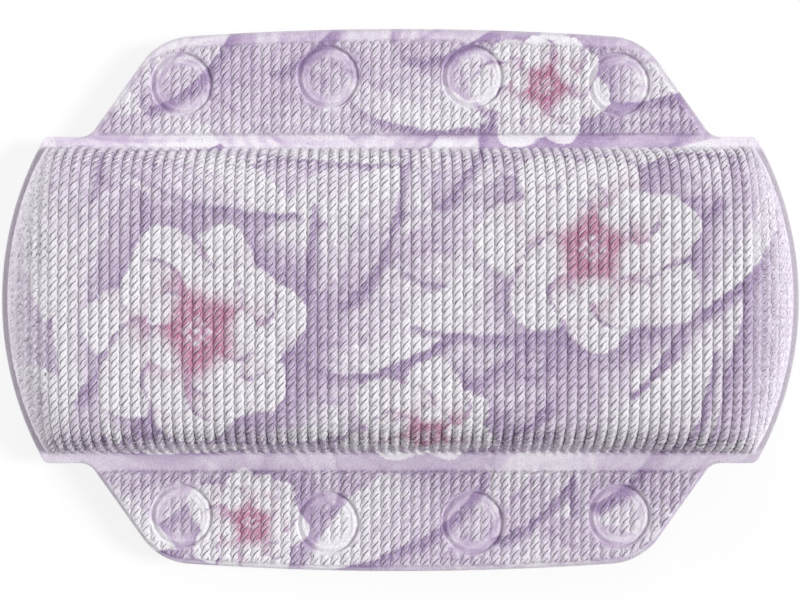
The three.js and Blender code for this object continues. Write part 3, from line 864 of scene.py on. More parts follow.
def make_front_cover(material):
    plan = rib_grid()
    moves = cloth_moves(plan)
    smooth = front_surface(plan) + moves
    along = rib_counts(plan, smooth)
    lean = slit_lean(fraction(along)) * (np.abs(along) > STRAIGHT_RIBS + TINY)
    climb = plan.rows[:, None] / CELL_PITCH - lean
    # crease holds how strongly shade is painted into the emboss's creases
    surface, mask, crease = pressed_cover(plan, smooth, along, climb)
    inset = outline_distance(surface[..., 0], surface[..., 1])
    surface[..., 2] -= edge_drop(inset)

    rows, columns = surface.shape[:2]
    count = rows * columns
    lining = plan.layer(FRONT_WALL, SHEET_PLANE, CROWN_HEIGHT - FRONT_WALL, plan.swell()) + moves
    for edge in (np.s_[0], np.s_[-1], np.s_[:, 0], np.s_[:, -1]):
        lining[edge] = surface[edge] * (1, 1, 0) + (0, 0, SHEET_PLANE)
    under_points, under_faces, loop_under = coarse_under(lining, plan, count)
    loop = [j * columns + i for j, i in border_loop(rows, columns)]
    ring = zip(loop, loop[1:] + loop[:1], loop_under, loop_under[1:] + loop_under[:1])
    wall = [[b, a, c, d] for a, b, c, d in ring]
    points = np.concatenate([surface.reshape(-1, 3), under_points])
    faces = grid_triangles(surface).tolist() + under_faces + wall
    piece = new_piece("front_cover_sheet", points, faces, material)

    crisp = (np.abs(along) < STRAIGHT_RIBS + TINY) & (mask > CRISP_MASK)
    sharpen(piece, loop + loop_under, np.where(crisp, along, np.nan), climb)
    fields = (along * RIB_PITCH, plan.v, mask, crease, paleness_and_band_light(plan), inset)
    dress_front(piece, *(field.ravel() for field in fields))
    rest = np.column_stack([along.ravel(), climb.ravel()])
    set_uv(piece, "rest", np.concatenate([rest, np.zeros((len(under_points), 2))]))

    j, i = np.mgrid[0:rows, 0:columns]
    up = COVER_STRIP + (1 - COVER_STRIP) * j.ravel() / (rows - 1)
    bake = np.column_stack([i.ravel() / (columns - 1), up])
    strip = STRIP_MIDDLE + under_points[:, :2] / (HALF_LENGTH, HALF_WIDTH) * STRIP_HALF_SIZE
    wall_uv = np.concatenate([bake, strip])
    wall_uv[loop_under] = bake[loop]
    set_uv(piece, "OFBake", np.concatenate([bake, strip]), wall_uv, count)
    return piece


def coarse_under(lining, plan, first):
    """Points and faces of the cover's inner side: a coarse grid that meets every point of the border."""
    rows, columns = lining.shape[:2]
    row_lines = lining_lines(rows, plan.middle_row, UNDER_CELLS * len(CELL_PLACES), plan.foot_rows)
    column_lines = lining_lines(columns, plan.middle, UNDER_RIBS * len(RIB_PLACES), plan.foot_columns)
    loop = border_loop(rows, columns)
    inner = [(j, i) for j in row_lines[1:-1] for i in column_lines[1:-1]]
    number = {place: first + k for k, place in enumerate(loop + inner)}
    points = np.array([lining[place] for place in loop + inner])

    def run(start, end):
        """Numbered points from one corner of a coarse cell up to the next."""
        down, along = np.sign(np.subtract(end, start))
        length = abs(end[0] - start[0]) + abs(end[1] - start[1])
        places = [(start[0] + n * down, start[1] + n * along) for n in range(length)]
        return [number[place] for place in places if place in number]

    faces = []
    for j0, j1 in zip(row_lines[:-1], row_lines[1:]):
        for i0, i1 in zip(column_lines[:-1], column_lines[1:]):
            corners = [(j0, i0), (j1, i0), (j1, i1), (j0, i1)]
            faces.append([n for a, b in zip(corners, corners[1:] + corners[:1]) for n in run(a, b)])
    return points, faces, [number[place] for place in loop]


def lining_lines(count, middle, stride, foot):
    """Grid lines of the inner side: both borders, both feet of the crown, and even steps from the middle."""
    inner = [k for k in range(middle % stride, count, stride) if foot[0] < k < foot[1]]
    return [0, foot[0], *inner, foot[1], count - 1]


def dress_front(piece, x, across, mask, crease, ends, inset):
    """The print, its paler ends and the light painted along its lower weld band, the shade painted into the
    emboss's creases, and its greyer rim, as values at the points of a front sheet. Its hidden side has none.
    """
    pale, violet, rose = pressed_print(x, across, mask)
    at_end = np.abs(x) > FLAP_TIP
    far, near = EAR_RIM_FADE
    near_ear = smoothstep(sheet_half_width - far, sheet_half_width - near, np.abs(across))
    rim = 1 - smoothstep(*RIM_FADE, inset / np.where(at_end, END_RIM, FLAP_RIM))
    rim = rim * np.where(at_end, 1 - near_ear, FLAP_RIM_GREYNESS)
    # The value named emboss holds how strongly shade is painted into the emboss's creases and a highlight on
    # its brinks
    fields = {"pale": pale, "violet": violet, "rose": rose, "emboss": crease, "ends": ends, "rim": rim}
    for name, values in fields.items():
        set_values(piece, name, values)


# Flaps

# Height of the sheet over the weld plane, by the distance from a cup's centre
RING_HEIGHTS = [
    (RING_ISLAND_RADIUS - 0.0009, 0.0020),
    (RING_ISLAND_RADIUS, 0.0018),
    (RING_TROUGH_RADIUS + 0.0004, 0.0014),
    (RING_BEAD_RADIUS + 0.0001, 0.0017),
    (RING_FLOOR_RADIUS + 0.0002, 0.0005),
    (RING_FLOOR_RADIUS + 0.0004, 0.0005),
    (RING_WELD_RADIUS, FRONT_WALL),
]
RING_EASING = (-0.0002, -0.0001, 0, 0.0001, 0.0002)
RING_GAP = 0.0002
RING_EMBOSS = 0.15
RING_OUTSIDE = (RING_WELD_RADIUS - 0.0001, RING_WELD_RADIUS + 0.0003)
RING_ISLAND = (RING_TROUGH_RADIUS, RING_TROUGH_RADIUS - 0.0016)
ISLAND_EMBOSS = 0.9
BACK_WELD_RADIUS = RING_WELD_RADIUS + 0.0004
BACK_WELD_WIDTH = 0.0005
BACK_WELD_DEPTH = 0.3 * WELDED_PLY

# Radii of the rows of points round a cup, on the front and on the back
RING_RADII = np.concatenate([np.arange(0.0084, 0.0120, 0.0003), [0.0121, 0.0124, 0.0126, 0.0128]])
BACK_RING_RADII = np.arange(0.0116, 0.0150, 0.0005)

# Border of the embossed panel, as distances in from it, and rows of points by the seam and the rounded edge
BORDER_STEPS = (-0.0004, -0.0001, 0.0003, 0.0006)
PANEL_STEP = (-0.0004, 0.0003)
PANEL_EMBOSS = (-0.0001, 0.0005)
SEAM_SPACING = 0.0008
SEAM_GAP = 0.0001
EDGE_ROWS = 5
EDGE_GAP = 1.9 * WELDED_PLY
MILLIMETRES = 1000
MERGE_DISTANCE = 1e-5

# Shares of the baked map that the front and the hidden side of a flap take
FLAP_FRONT_SHARE = 0.94
FLAP_HIDDEN_SHARE = 0.04


def cup_centres(side):
    """Centres of a flap's cups, from the one that is named first to the last."""
    names = [f"{SIDE_NAMES[side]}_suction_cup_{k}" for k in (1, 2, 3, 4)]
    boxes = [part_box(name) for name in names]
    return {name: ((low + high) / 2).to_2d() for name, (low, high) in zip(names, boxes)}


def ring_radius(x, y, side):
    """Distance to the nearest cup's centre."""
    centres = cup_centres(side).values()
    return np.min([np.hypot(x - centre.x, y - centre.y) for centre in centres], axis=0)


def panel_border(side):
    """Points on both sides of the border of a flap's embossed panel, for a crisp step."""
    fillet, run, corner, outer = flap_edge_runs()
    side_margin, edge_margin = FLAP_SIDE_MARGIN[side], FLAP_EDGE_MARGIN[side]
    margins = np.concatenate([
        np.full(len(fillet) + len(run), side_margin),
        np.linspace(side_margin, edge_margin, len(corner)),
        np.full(len(outer), edge_margin),
    ])
    half = flap_edge()
    inward = inward_of(half)
    root = HINGE_DISTANCE + FLAP_ROOT_MARGIN[side]
    root_x = np.arange(0, FLAP_ROOT_HALF_WIDTH, SEAM_SPACING)
    lines = []
    for step in BORDER_STEPS:
        free = half + inward * (margins + step)[:, None]
        bottom = np.column_stack([root_x, np.full_like(root_x, root + step)])
        from_side = (bottom - side_root) @ side_inward
        lines += [free[free[:, 1] > root + step], bottom[from_side > side_margin + step]]
    right = np.concatenate(lines)
    left = right[right[:, 0] > TINY] * (-1, 1)
    points = np.concatenate([right, left]) * (1, side)
    return points[ring_radius(*points.T, side) > RING_RADII[-1] + RING_GAP]


def flap_plan(side, lattice, lines, ring_radii, border):
    """Triangles of a flap seen from the front, with rows of points along its edge and its border, round its
    rings and over its lattice. Also gives the number in the lattice of every point, or -1."""
    half = flap_edge()
    edge = np.concatenate([half, (half * (-1, 1))[-2::-1]])
    seam_count = math.floor(FLAP_TIP / SEAM_SPACING)
    seam_x = np.arange(-seam_count, seam_count + 1) * SEAM_SPACING
    seam = np.column_stack([seam_x, np.full_like(seam_x, HALF_WIDTH)])
    outline = np.concatenate([edge, seam]) * (1, side)
    loop = [(k, (k + 1) % len(outline)) for k in range(len(outline))]

    inward = inward_of(edge)
    rows = [edge + inward * WELDED_PLY * (k / EDGE_ROWS) ** 2 for k in range(1, EDGE_ROWS + 2)]
    rounding = np.concatenate(rows)
    rounding = rounding[rounding[:, 1] > HALF_WIDTH + SEAM_GAP] * (1, side)
    centres = cup_centres(side).values()
    circles = np.concatenate([circle_points(centre, radius) for centre in centres for radius in ring_radii])

    x, y = lattice.T
    keep = np.abs(y) > HALF_WIDTH + SEAM_SPACING / 2
    keep &= np.abs(y) < flap_edge_height(x) - WELDED_PLY
    keep &= outline_distance(x, y) > EDGE_GAP
    radius = ring_radius(x, y, side)
    keep &= (radius < min(ring_radii) - RING_GAP) | (radius > max(ring_radii) + RING_GAP)

    around = np.concatenate([outline, rounding, circles, border])
    kept = np.flatnonzero(keep)
    number = np.full(len(lattice), -1)
    number[kept] = len(around) + np.arange(len(kept))
    lines = number[lines]
    lines = lines[(lines >= 0).all(1)]
    points = np.concatenate([around, lattice[kept]])
    origin = np.concatenate([np.full(len(around), -1), kept])
    scaled = (MILLIMETRES * points).tolist()
    result = delaunay_2d_cdt(scaled, loop + lines.tolist(), [], 1, MERGE_DISTANCE, True)
    flat = np.array([[v.x, v.y] for v in result[0]]) / MILLIMETRES
    triangles = np.array([list(t) for t in result[2]])
    middle = flat[triangles].mean(1)
    triangles = triangles[np.abs(middle[:, 1]) < flap_edge_height(middle[:, 0])]
    return flat, triangles, np.array([origin[numbers[0]] if numbers else -1 for numbers in result[3]])


def rib_lattice(side):
    """Points of the emboss over a flap, with their counts of ribs and slits, and the lines that join them."""
    half_count = math.ceil(FLAP_TIP / RIB_PITCH)
    near = math.floor(HALF_WIDTH / CELL_PITCH) - 1
    far = math.ceil(flap_high.y / CELL_PITCH) + 1
    first, last = sorted((side * near, side * far))
    columns = lattice_steps(RIB_PLACES, -half_count, half_count)
    along, climb = np.meshgrid(columns, lattice_steps(CELL_PLACES, first, last))
    points = np.stack([along * RIB_PITCH, CELL_PITCH * (climb + lattice_lean(climb, along))], axis=2)
    index = np.arange(along.size).reshape(along.shape)
    grooves = np.stack([index[:-1, ::len(RIB_PLACES)], index[1:, ::len(RIB_PLACES)]], axis=2)
    in_rib = np.arange(along.shape[1] - 1) % len(RIB_PLACES) > 0
    in_rib &= np.arange(1, along.shape[1]) % len(RIB_PLACES) > 0
    strands = np.stack([index[:, :-1][:, in_rib], index[:, 1:][:, in_rib]], axis=2)
    lines = np.concatenate([grooves.reshape(-1, 2), strands.reshape(-1, 2)])
    return points.reshape(-1, 2), along.ravel(), climb.ravel(), lines


def even_lattice(side):
    """Evenly spaced points over a flap."""
    x = np.arange(-FLAP_TIP, FLAP_TIP, BACK_STEP)
    y = side * np.arange(HALF_WIDTH, flap_high.y, BACK_STEP)
    return np.stack(np.meshgrid(x, y), axis=2).reshape(-1, 2)


def circle_points(centre, radius):
    turn = np.arange(RING_SIDES) * 2 * math.pi / RING_SIDES
    return np.column_stack([centre.x + radius * np.cos(turn), centre.y + radius * np.sin(turn)])


def flap_edge_height(x):
    """How far from the centre line the flap's free edge lies at x."""
    half = flap_edge()[::-1]
    return np.interp(np.abs(x), half[:, 0], half[:, 1], right=HALF_WIDTH)


def closed_flap(flat, triangles, top, bottom, shift=0):
    """Points, faces and border of a flap's ply between two heights, with its top points shifted along X."""
    a, b, c = flat[triangles].transpose(1, 0, 2)
    area = np.cross(b - a, c - a)
    triangles = np.where(area[:, None] > 0, triangles, triangles[:, ::-1])
    count = len(flat)
    edges = np.concatenate([triangles[:, [0, 1]], triangles[:, [1, 2]], triangles[:, [2, 0]]])
    known = {tuple(edge) for edge in edges.tolist()}
    border = np.array([edge for edge in known if edge[::-1] not in known])
    wall = np.column_stack([border[:, 1], border[:, 0], border[:, 0] + count, border[:, 1] + count])
    upper = np.column_stack([flat[:, 0] + shift, flat[:, 1], top])
    points = np.concatenate([upper, np.column_stack([flat, bottom])])
    faces = triangles.tolist() + (triangles[:, ::-1] + count).tolist() + wall.tolist()
    return points, faces, wall.ravel()


def ring_profile(radius):
    """Height of the sheet over the weld plane round a cup, eased between the profile's points."""
    places, heights = zip(*RING_HEIGHTS)
    return np.mean([np.interp(radius + shift, places, heights) for shift in RING_EASING], axis=0)


def panel_inset(x, y, side):
    """How far points lie inside the border of a flap's embossed panel."""
    place = np.abs(np.column_stack([x, y]))
    side_margin, edge_margin = FLAP_SIDE_MARGIN[side], FLAP_EDGE_MARGIN[side]
    from_edge = FLAP_EDGE_RADIUS - np.hypot(*(place - edge_centre).T)
    from_side = (place - side_root) @ side_inward
    inset = np.minimum(from_edge - edge_margin, from_side - side_margin)
    off_corner = place - corner_centre
    turn = np.arctan2(off_corner[:, 1], off_corner[:, 0])
    round_share = (turn - FLAP_SIDE_LEAN) / (corner_turn - FLAP_SIDE_LEAN)
    corner_margin = side_margin + (edge_margin - side_margin) * round_share
    in_corner = (round_share > 0) & (round_share < 1)
    inset = np.where(in_corner, FLAP_CORNER_RADIUS - np.hypot(*off_corner.T) - corner_margin, inset)
    return np.minimum(inset, place[:, 1] - HINGE_DISTANCE - FLAP_ROOT_MARGIN[side])


def make_flap_front(side, material):
    lattice, lattice_along, lattice_climb, lines = rib_lattice(side)
    flat, triangles, origin = flap_plan(side, lattice, lines, RING_RADII, panel_border(side))
    x, y = flat.T
    along = np.where(origin >= 0, lattice_along[origin], x / RIB_PITCH)
    climb = np.where(origin >= 0, lattice_climb[origin], y / CELL_PITCH - slit_lean(fraction(along)))

    inset = panel_inset(x, y, side)
    radius = ring_radius(x, y, side)
    island = ISLAND_EMBOSS * smoothstep(*RING_ISLAND, radius)
    ring_emboss = np.maximum(np.maximum(smoothstep(*RING_OUTSIDE, radius), island), RING_EMBOSS)
    mask = smoothstep(*PANEL_EMBOSS, inset) * ring_emboss
    outline_inset = outline_distance(x, y)
    top = RIM_LEVEL - edge_drop(outline_inset)
    top = top + smoothstep(*PANEL_STEP, inset) * (ring_profile(radius) - WELDED_PLY)
    top = top - EMBOSS_DEPTH * mask * (1 - emboss_height(along, climb))
    shift = SCALLOP * mask * np.sin(2 * math.pi * y / CELL_PITCH)
    points, faces, border = closed_flap(flat, triangles, top, np.full_like(top, SHEET_PLANE), shift)
    piece = new_piece(f"{SIDE_NAMES[side]}_flap_sheet", points, faces, material)

    crisp = (origin >= 0) & (mask > CRISP_MASK)
    sharpen(piece, border, np.where(crisp, along, np.nan), climb)
    across = np.sign(y) * (np.abs(y) - HALF_WIDTH + sheet_half_width)
    at_root = smoothstep(FLAP_ROOT_MARGIN[side], 0, np.abs(y) - HINGE_DISTANCE)
    # The lower flap's root takes the same painted light as the lower weld band
    ends = LOWER_BAND_PAINTED_LIGHT * at_root if side < 0 else np.zeros_like(x)
    # On the flaps the shade painted into the creases follows the emboss's mask
    dress_front(piece, x, across, mask, mask, ends, outline_inset)
    rest = np.column_stack([along, climb])
    set_uv(piece, "rest", np.concatenate([rest, rest]))
    set_flap_bake_uv(piece, flat)
    return piece


def set_flap_bake_uv(piece, flat):
    """A map that gives the front nearly all of the square and the hidden side a thin strip of it."""
    up = (np.abs(flat[:, 1]) - HALF_WIDTH) / (flap_high.y - HALF_WIDTH)
    share = np.clip(np.column_stack([0.5 + 0.5 * flat[:, 0] / FLAP_TIP, up]), 0, 1)
    front = share * (1, FLAP_FRONT_SHARE) + (0, 1 - FLAP_FRONT_SHARE)
    hidden = share * (1, FLAP_HIDDEN_SHARE)
    set_uv(piece, "OFBake", np.concatenate([front, hidden]), np.concatenate([front, front]), len(flat))


def make_flap_back(side, material):
    no_lines, no_border = np.zeros((0, 2), int), np.zeros((0, 2))
    flat, triangles, _ = flap_plan(side, even_lattice(side), no_lines, BACK_RING_RADII, no_border)
    x, y = flat.T
    weld = np.exp(-((ring_radius(x, y, side) - BACK_WELD_RADIUS) / BACK_WELD_WIDTH) ** 2)
    bottom = SHEET_PLANE - WELDED_PLY + edge_drop(outline_distance(x, y)) + BACK_WELD_DEPTH * weld
    points, faces, border = closed_flap(flat, triangles, np.full_like(bottom, SHEET_PLANE), bottom)
    piece = new_piece(f"{SIDE_NAMES[side]}_flap_backing", points, faces, material)
    sharpen(piece, border)
    set_uv(piece, "rest", np.concatenate([flat, flat]) / RIB_PITCH)
    return piece


# Back cover, foam core and suction cups

FOAM_LIFT = 0.00005
CUP_ROUND = 0.0003
CUP_SMALL_ROUND = 0.0002
CUP_NECK_ROUND = 0.0004
CUP_NECK_FLARE = 0.0006
CUP_LIP = 0.0004
CUP_HOLLOW_EDGE = 0.0001
VAULT_STEPS = 9


def make_back_cover(material):
    plan = even_grid(BACK_STEP)
    form = flat_swell(plan.swell())
    lining = softened(plan.layer(BACK_WALL, SHEET_PLANE, BACK_BOTTOM + BACK_WALL - SHEET_PLANE, form), 1)
    outer = softened(plan.layer(0, SHEET_PLANE - WELDED_PLY, BACK_BOTTOM + WELDED_PLY - SHEET_PLANE, form), 1)
    outer[..., 2] += edge_drop(outline_distance(outer[..., 0], outer[..., 1]))
    points, faces, border = closed_grid(lining, outer)
    piece = new_piece("back_cover_sheet", points, faces, material)
    sharpen(piece, border)
    flat = np.column_stack([plan.x.ravel(), plan.v.ravel()])
    set_uv(piece, "rest", np.concatenate([flat, flat]) / RIB_PITCH)
    return piece


def make_foam_core(material):
    plan = even_grid(FOAM_STEP)
    rows = slice(plan.foot_rows[0], plan.foot_rows[1] + 1)
    columns = slice(plan.foot_columns[0], plan.foot_columns[1] + 1)
    inset = FRONT_WALL + FOAM_CLEARANCE
    rise = CROWN_HEIGHT - inset
    fall = BACK_BOTTOM + BACK_WALL + FOAM_CLEARANCE - SHEET_PLANE
    swell = plan.swell()
    shrink = np.array([1 - inset / FOOT_HALF_LENGTH, 1 - inset / FOOT_HALF_WIDTH, 1])
    upper = plan.layer(0, SHEET_PLANE + FOAM_LIFT, rise, swell)[rows, columns] * shrink
    lower = plan.layer(0, SHEET_PLANE, fall, flat_swell(swell))[rows, columns] * shrink
    points, faces, _ = closed_grid(upper, lower)
    return new_piece("foam_filling", points, faces, material)


def cut_corners(profile, times):
    """A profile with its corners rounded off and its ends kept."""
    line = np.array(profile)
    for _ in range(times):
        near = 0.75 * line[:-1] + 0.25 * line[1:]
        far = 0.25 * line[:-1] + 0.75 * line[1:]
        line = np.concatenate([line[:1], np.stack([near, far], 1).reshape(-1, 2), line[-1:]])
    return line


def cup_profile():
    """Half a suction cup's outline as radius and height, from the middle of its top to that of its hollow."""
    flange_bottom = CUP_HEIGHT - CUP_FLANGE_THICKNESS
    neck_bottom = flange_bottom - CUP_NECK_HEIGHT
    hollow = CUP_RADIUS - CUP_RIM_WIDTH
    turn = np.linspace(0, math.pi / 2, VAULT_STEPS)[1:]
    vault = np.column_stack([hollow * np.cos(turn), CUP_HOLLOW_DEPTH * np.sin(turn)])
    flange = [
        (0, CUP_HEIGHT),
        (CUP_FLANGE_RADIUS - CUP_ROUND, CUP_HEIGHT),
        (CUP_FLANGE_RADIUS, CUP_HEIGHT),
        (CUP_FLANGE_RADIUS, CUP_HEIGHT - CUP_ROUND),
        (CUP_FLANGE_RADIUS, flange_bottom + CUP_SMALL_ROUND),
        (CUP_FLANGE_RADIUS - CUP_SMALL_ROUND, flange_bottom),
        (CUP_NECK_RADIUS + CUP_NECK_FLARE, flange_bottom),
        (CUP_NECK_RADIUS, flange_bottom - CUP_NECK_ROUND),
        (CUP_NECK_RADIUS, neck_bottom + CUP_NECK_ROUND),
        (CUP_NECK_RADIUS + CUP_NECK_FLARE, neck_bottom),
    ]
    bell = [
        (CUP_SHOULDER_RADIUS, CUP_SHOULDER_HEIGHT),
        (CUP_RADIUS - CUP_RIM_WIDTH / 2, CUP_SKIRT_HEIGHT),
        (CUP_RADIUS, CUP_LIP),
        (CUP_RADIUS, 0),
        (CUP_RADIUS - CUP_LIP, 0),
        (hollow + CUP_ROUND, 0),
        (hollow, CUP_HOLLOW_EDGE),
    ]
    return cut_corners(flange + bell + vault.tolist(), 2)


def make_cup(name, centre, material):
    profile = cup_profile()
    profile[[0, -1], 0] = 0
    turn = np.arange(CUP_SIDES) * 2 * math.pi / CUP_SIDES
    rings = profile[1:-1]
    x = centre.x + rings[:, :1] * np.cos(turn)
    y = centre.y + rings[:, :1] * np.sin(turn)
    z = BACK_BOTTOM + np.broadcast_to(rings[:, 1:], x.shape)
    points = np.stack([x, y, z], axis=2).reshape(-1, 3)
    poles = [(centre.x, centre.y, BACK_BOTTOM + profile[k, 1]) for k in (0, -1)]
    top_pole, hollow_pole = len(points), len(points) + 1
    faces = []
    for k in range(CUP_SIDES):
        n = (k + 1) % CUP_SIDES
        faces.append([top_pole, k, n])
        last = (len(rings) - 1) * CUP_SIDES
        faces.append([hollow_pole, last + n, last + k])
        for r in range(len(rings) - 1):
            a, b = r * CUP_SIDES, (r + 1) * CUP_SIDES
            faces.append([a + k, b + k, b + n, a + n])
    return new_piece(name, np.concatenate([points, poles]), faces, material)


# Materials

def srgb(red, green, blue):
    """A colour as it looks on a screen, from 0 to 255, in the linear values that shaders take."""
    def linear(value):
        share = value / 255
        return share / 12.92 if share <= 0.04045 else ((share + 0.055) / 1.055) ** 2.4
    return (linear(red), linear(green), linear(blue), 1)


class Nodes:
    """The node tree of a material or a world, with short ways to add and join nodes."""

    def __init__(self, owner):
        owner.use_nodes = True
        self.owner = owner
        self.tree = owner.node_tree

    def put(self, socket, value):
        if isinstance(value, bpy.types.NodeSocket):
            self.tree.links.new(value, socket)
        else:
            socket.default_value = value

    def set(self, node, **inputs):
        for name, value in inputs.items():
            self.put(node.inputs[name.replace("_", " ")], value)

    def add(self, kind, settings=(), **inputs):
        node = self.tree.nodes.new(kind)
        for name, value in dict(settings).items():
            setattr(node, name, value)
        self.set(node, **inputs)
        return node

    def joined(self, node, *values):
        """The first output of a node whose inputs take the values in order."""
        for socket, value in zip(node.inputs, values):
            self.put(socket, value)
        return node.outputs[0]

    def math(self, operation, *values):
        return self.joined(self.add("ShaderNodeMath", {"operation": operation}), *values)

    def times(self, first, second):
        return self.math("MULTIPLY", first, second)

    def plus(self, first, second):
        return self.math("ADD", first, second)

    def distance(self, value, place):
        return self.math("ABSOLUTE", self.math("SUBTRACT", value, place))

    def ramp(self, value, low, high, start=0.0, end=1.0):
        node = self.add("ShaderNodeMapRange", {"interpolation_type": "SMOOTHSTEP"})
        return self.joined(node, value, low, high, start, end)

    def mix(self, share, first, second):
        node = self.add("ShaderNodeMix", {"data_type": "RGBA"})
        for place, value in ((0, share), (6, first), (7, second)):
            self.put(node.inputs[place], value)
        return node.outputs[2]

    def noise(self, vector, scale, detail=3.0, roughness=0.55):
        node = self.add("ShaderNodeTexNoise", Vector=vector, Scale=scale, Detail=detail, Roughness=roughness)
        return node.outputs[0]

    def bump(self, height, distance):
        return self.add("ShaderNodeBump", Height=height, Distance=distance, Strength=1.0).outputs[0]

    def value(self, name):
        return self.add("ShaderNodeAttribute", {"attribute_name": name}).outputs["Fac"]

    def uv(self, name):
        return self.add("ShaderNodeUVMap", {"uv_map": name}).outputs[0]

    def object_place(self):
        return self.add("ShaderNodeTexCoord").outputs["Object"]

    def finish(self, **inputs):
        """Sets the inputs of the material's own shader and gives the material."""
        self.set(self.tree.nodes["Principled BSDF"], **inputs)
        return self.owner


LILAC = srgb(216, 200, 223)
DEEP_LILAC = srgb(197, 177, 208)
PALE = srgb(242, 239, 244)
VIOLET = srgb(150, 122, 170)
ROSE = srgb(186, 112, 150)
RIM_GREY = srgb(186, 179, 190)
END_LILAC_AND_BAND_LIGHT = srgb(235, 227, 239)
# Painted shade for the emboss's grooves and slits, also the colour of the dark specks
DARK_SPECK_AND_CREASE_SHADE = srgb(88, 70, 97)
BACK_LILAC = srgb(226, 219, 230), srgb(218, 209, 224)
FOAM_CREAM = srgb(228, 216, 184), srgb(243, 236, 214)
CUP_MILK = srgb(234, 237, 240), srgb(224, 228, 233)

# Printed sheet: how strongly its layers show, at most. Among them are the paler ends with the light painted
# along the lower weld band, the shade painted into the emboss's grooves and slits, and the highlight painted
# on its brinks
FLECK_CONTRAST = 0.7
VIOLET_STRENGTH = 0.9
END_PALENESS_AND_BAND_LIGHT = 0.7
RIM_GREYNESS = 0.9
CREASE_SHADE_STRENGTH = 0.68
BRINK_HIGHLIGHT = 0.7
END_SLIT_SHADE = 0.6
END_GROOVE_SHADE = 0.5
GROOVE_SHADE_STRENGTH = (0.35, 0.8)

# Lines of the emboss on which shade and a highlight are painted, in shares of a rib or a cell
SLIT_WIDTH = 0.17
SLIT_MIDDLE = 0.46
SLIT_ENDS = (0.17, 0.36)
GROOVE_WIDTH = 0.14
BRINK_PLACE = 0.14
BRINK_WIDTH = (0.02, 0.12)

# Specks: the noise below which they are dark, and the most that the dark and the pale ones show
STREAK_SPECKS = (0.48, 0.52, 0.62)
GRAIN_SPECKS = (0.50, 0.48, 0.55)
PALE_ABOVE = 0.52
SPECK_CONTRAST = 0.18
STREAK_DENSITIES = [(1.1, 3.8, 1.0), (1.4, 7.0, 1.0)]


def printed_colour(nodes, rest, fleck, ends):
    """Colour of the print on the front sheet, with its paler ends, the light painted along its lower weld
    band, and its greyer rim.
    """
    mottle = nodes.noise(rest, 0.35, 4)
    uneven = nodes.times(nodes.math("SUBTRACT", fleck, 0.5), FLECK_CONTRAST)
    pale = nodes.plus(nodes.value("pale"), uneven)
    violet = nodes.plus(nodes.value("violet"), uneven)
    rose = nodes.value("rose")
    rose = nodes.plus(rose, nodes.times(uneven, rose))
    colour = nodes.mix(nodes.ramp(mottle, 0.35, 0.7), LILAC, DEEP_LILAC)
    colour = nodes.mix(nodes.ramp(pale, 0.10, 0.82), colour, PALE)
    colour = nodes.mix(nodes.ramp(violet, 0.22, 0.95, 0.0, VIOLET_STRENGTH), colour, VIOLET)
    colour = nodes.mix(nodes.ramp(rose, 0.0, 0.8), colour, ROSE)
    # Paler at the ends and on the ears, and painted light along the lower weld band
    colour = nodes.mix(nodes.times(ends, END_PALENESS_AND_BAND_LIGHT), colour, END_LILAC_AND_BAND_LIGHT)
    return nodes.mix(nodes.times(nodes.value("rim"), RIM_GREYNESS), colour, RIM_GREY)


def pressed_colour(nodes, colour, rest, fleck, ends, emboss):
    """A colour with painted shade in the emboss's slits and grooves, and a painted highlight on the brinks
    above its slits.
    """
    place = nodes.add("ShaderNodeSeparateXYZ", Vector=rest).outputs
    along = nodes.math("FRACT", place[0])
    in_slit = nodes.ramp(nodes.distance(along, SLIT_MIDDLE), *SLIT_ENDS, 1.0, 0.0)
    slit = nodes.ramp(nodes.math("PINGPONG", place[1], 0.5), 0.0, SLIT_WIDTH, 1.0, 0.0)
    slit = nodes.times(slit, in_slit)
    slit = nodes.times(slit, nodes.ramp(fleck, 0.30, 0.58, 0.25, 1.6))
    slit = nodes.times(slit, nodes.ramp(ends, 0.0, 1.0, 1.0, END_SLIT_SHADE))
    groove_shade_share = nodes.ramp(emboss, 1.0, 2.2, *GROOVE_SHADE_STRENGTH)
    groove_shade_share = nodes.plus(groove_shade_share, nodes.ramp(ends, 0.0, 0.6, 0.0, END_GROOVE_SHADE))
    groove = nodes.times(nodes.ramp(along, 0.0, GROOVE_WIDTH, 1.0, 0.0), groove_shade_share)
    # Painted shade in the slits and grooves, stronger on the flanks and in the fan at the ends
    painted_crease_shade = nodes.times(nodes.plus(slit, groove), emboss)
    colour = nodes.mix(nodes.times(painted_crease_shade, CREASE_SHADE_STRENGTH), colour, DARK_SPECK_AND_CREASE_SHADE)
    # A painted highlight on the brink above each slit, where its wall faces the key light
    above_slit = nodes.distance(nodes.math("FRACT", place[1]), BRINK_PLACE)
    brink_highlight = nodes.times(nodes.ramp(above_slit, *BRINK_WIDTH, BRINK_HIGHLIGHT, 0.0), emboss)
    return nodes.mix(nodes.times(brink_highlight, in_slit), colour, PALE)


def specked_colour(nodes, colour, noise, specks, share=1.0):
    """A colour with the dark and pale specks of a noise."""
    dark_below, dark, pale = specks
    dark_speck = nodes.ramp(noise, dark_below, dark_below - SPECK_CONTRAST, 0.0, dark)
    pale_speck = nodes.ramp(noise, PALE_ABOVE, PALE_ABOVE + SPECK_CONTRAST, 0.0, pale)
    colour = nodes.mix(nodes.times(dark_speck, share), colour, DARK_SPECK_AND_CREASE_SHADE)
    return nodes.mix(nodes.times(pale_speck, share), colour, PALE)


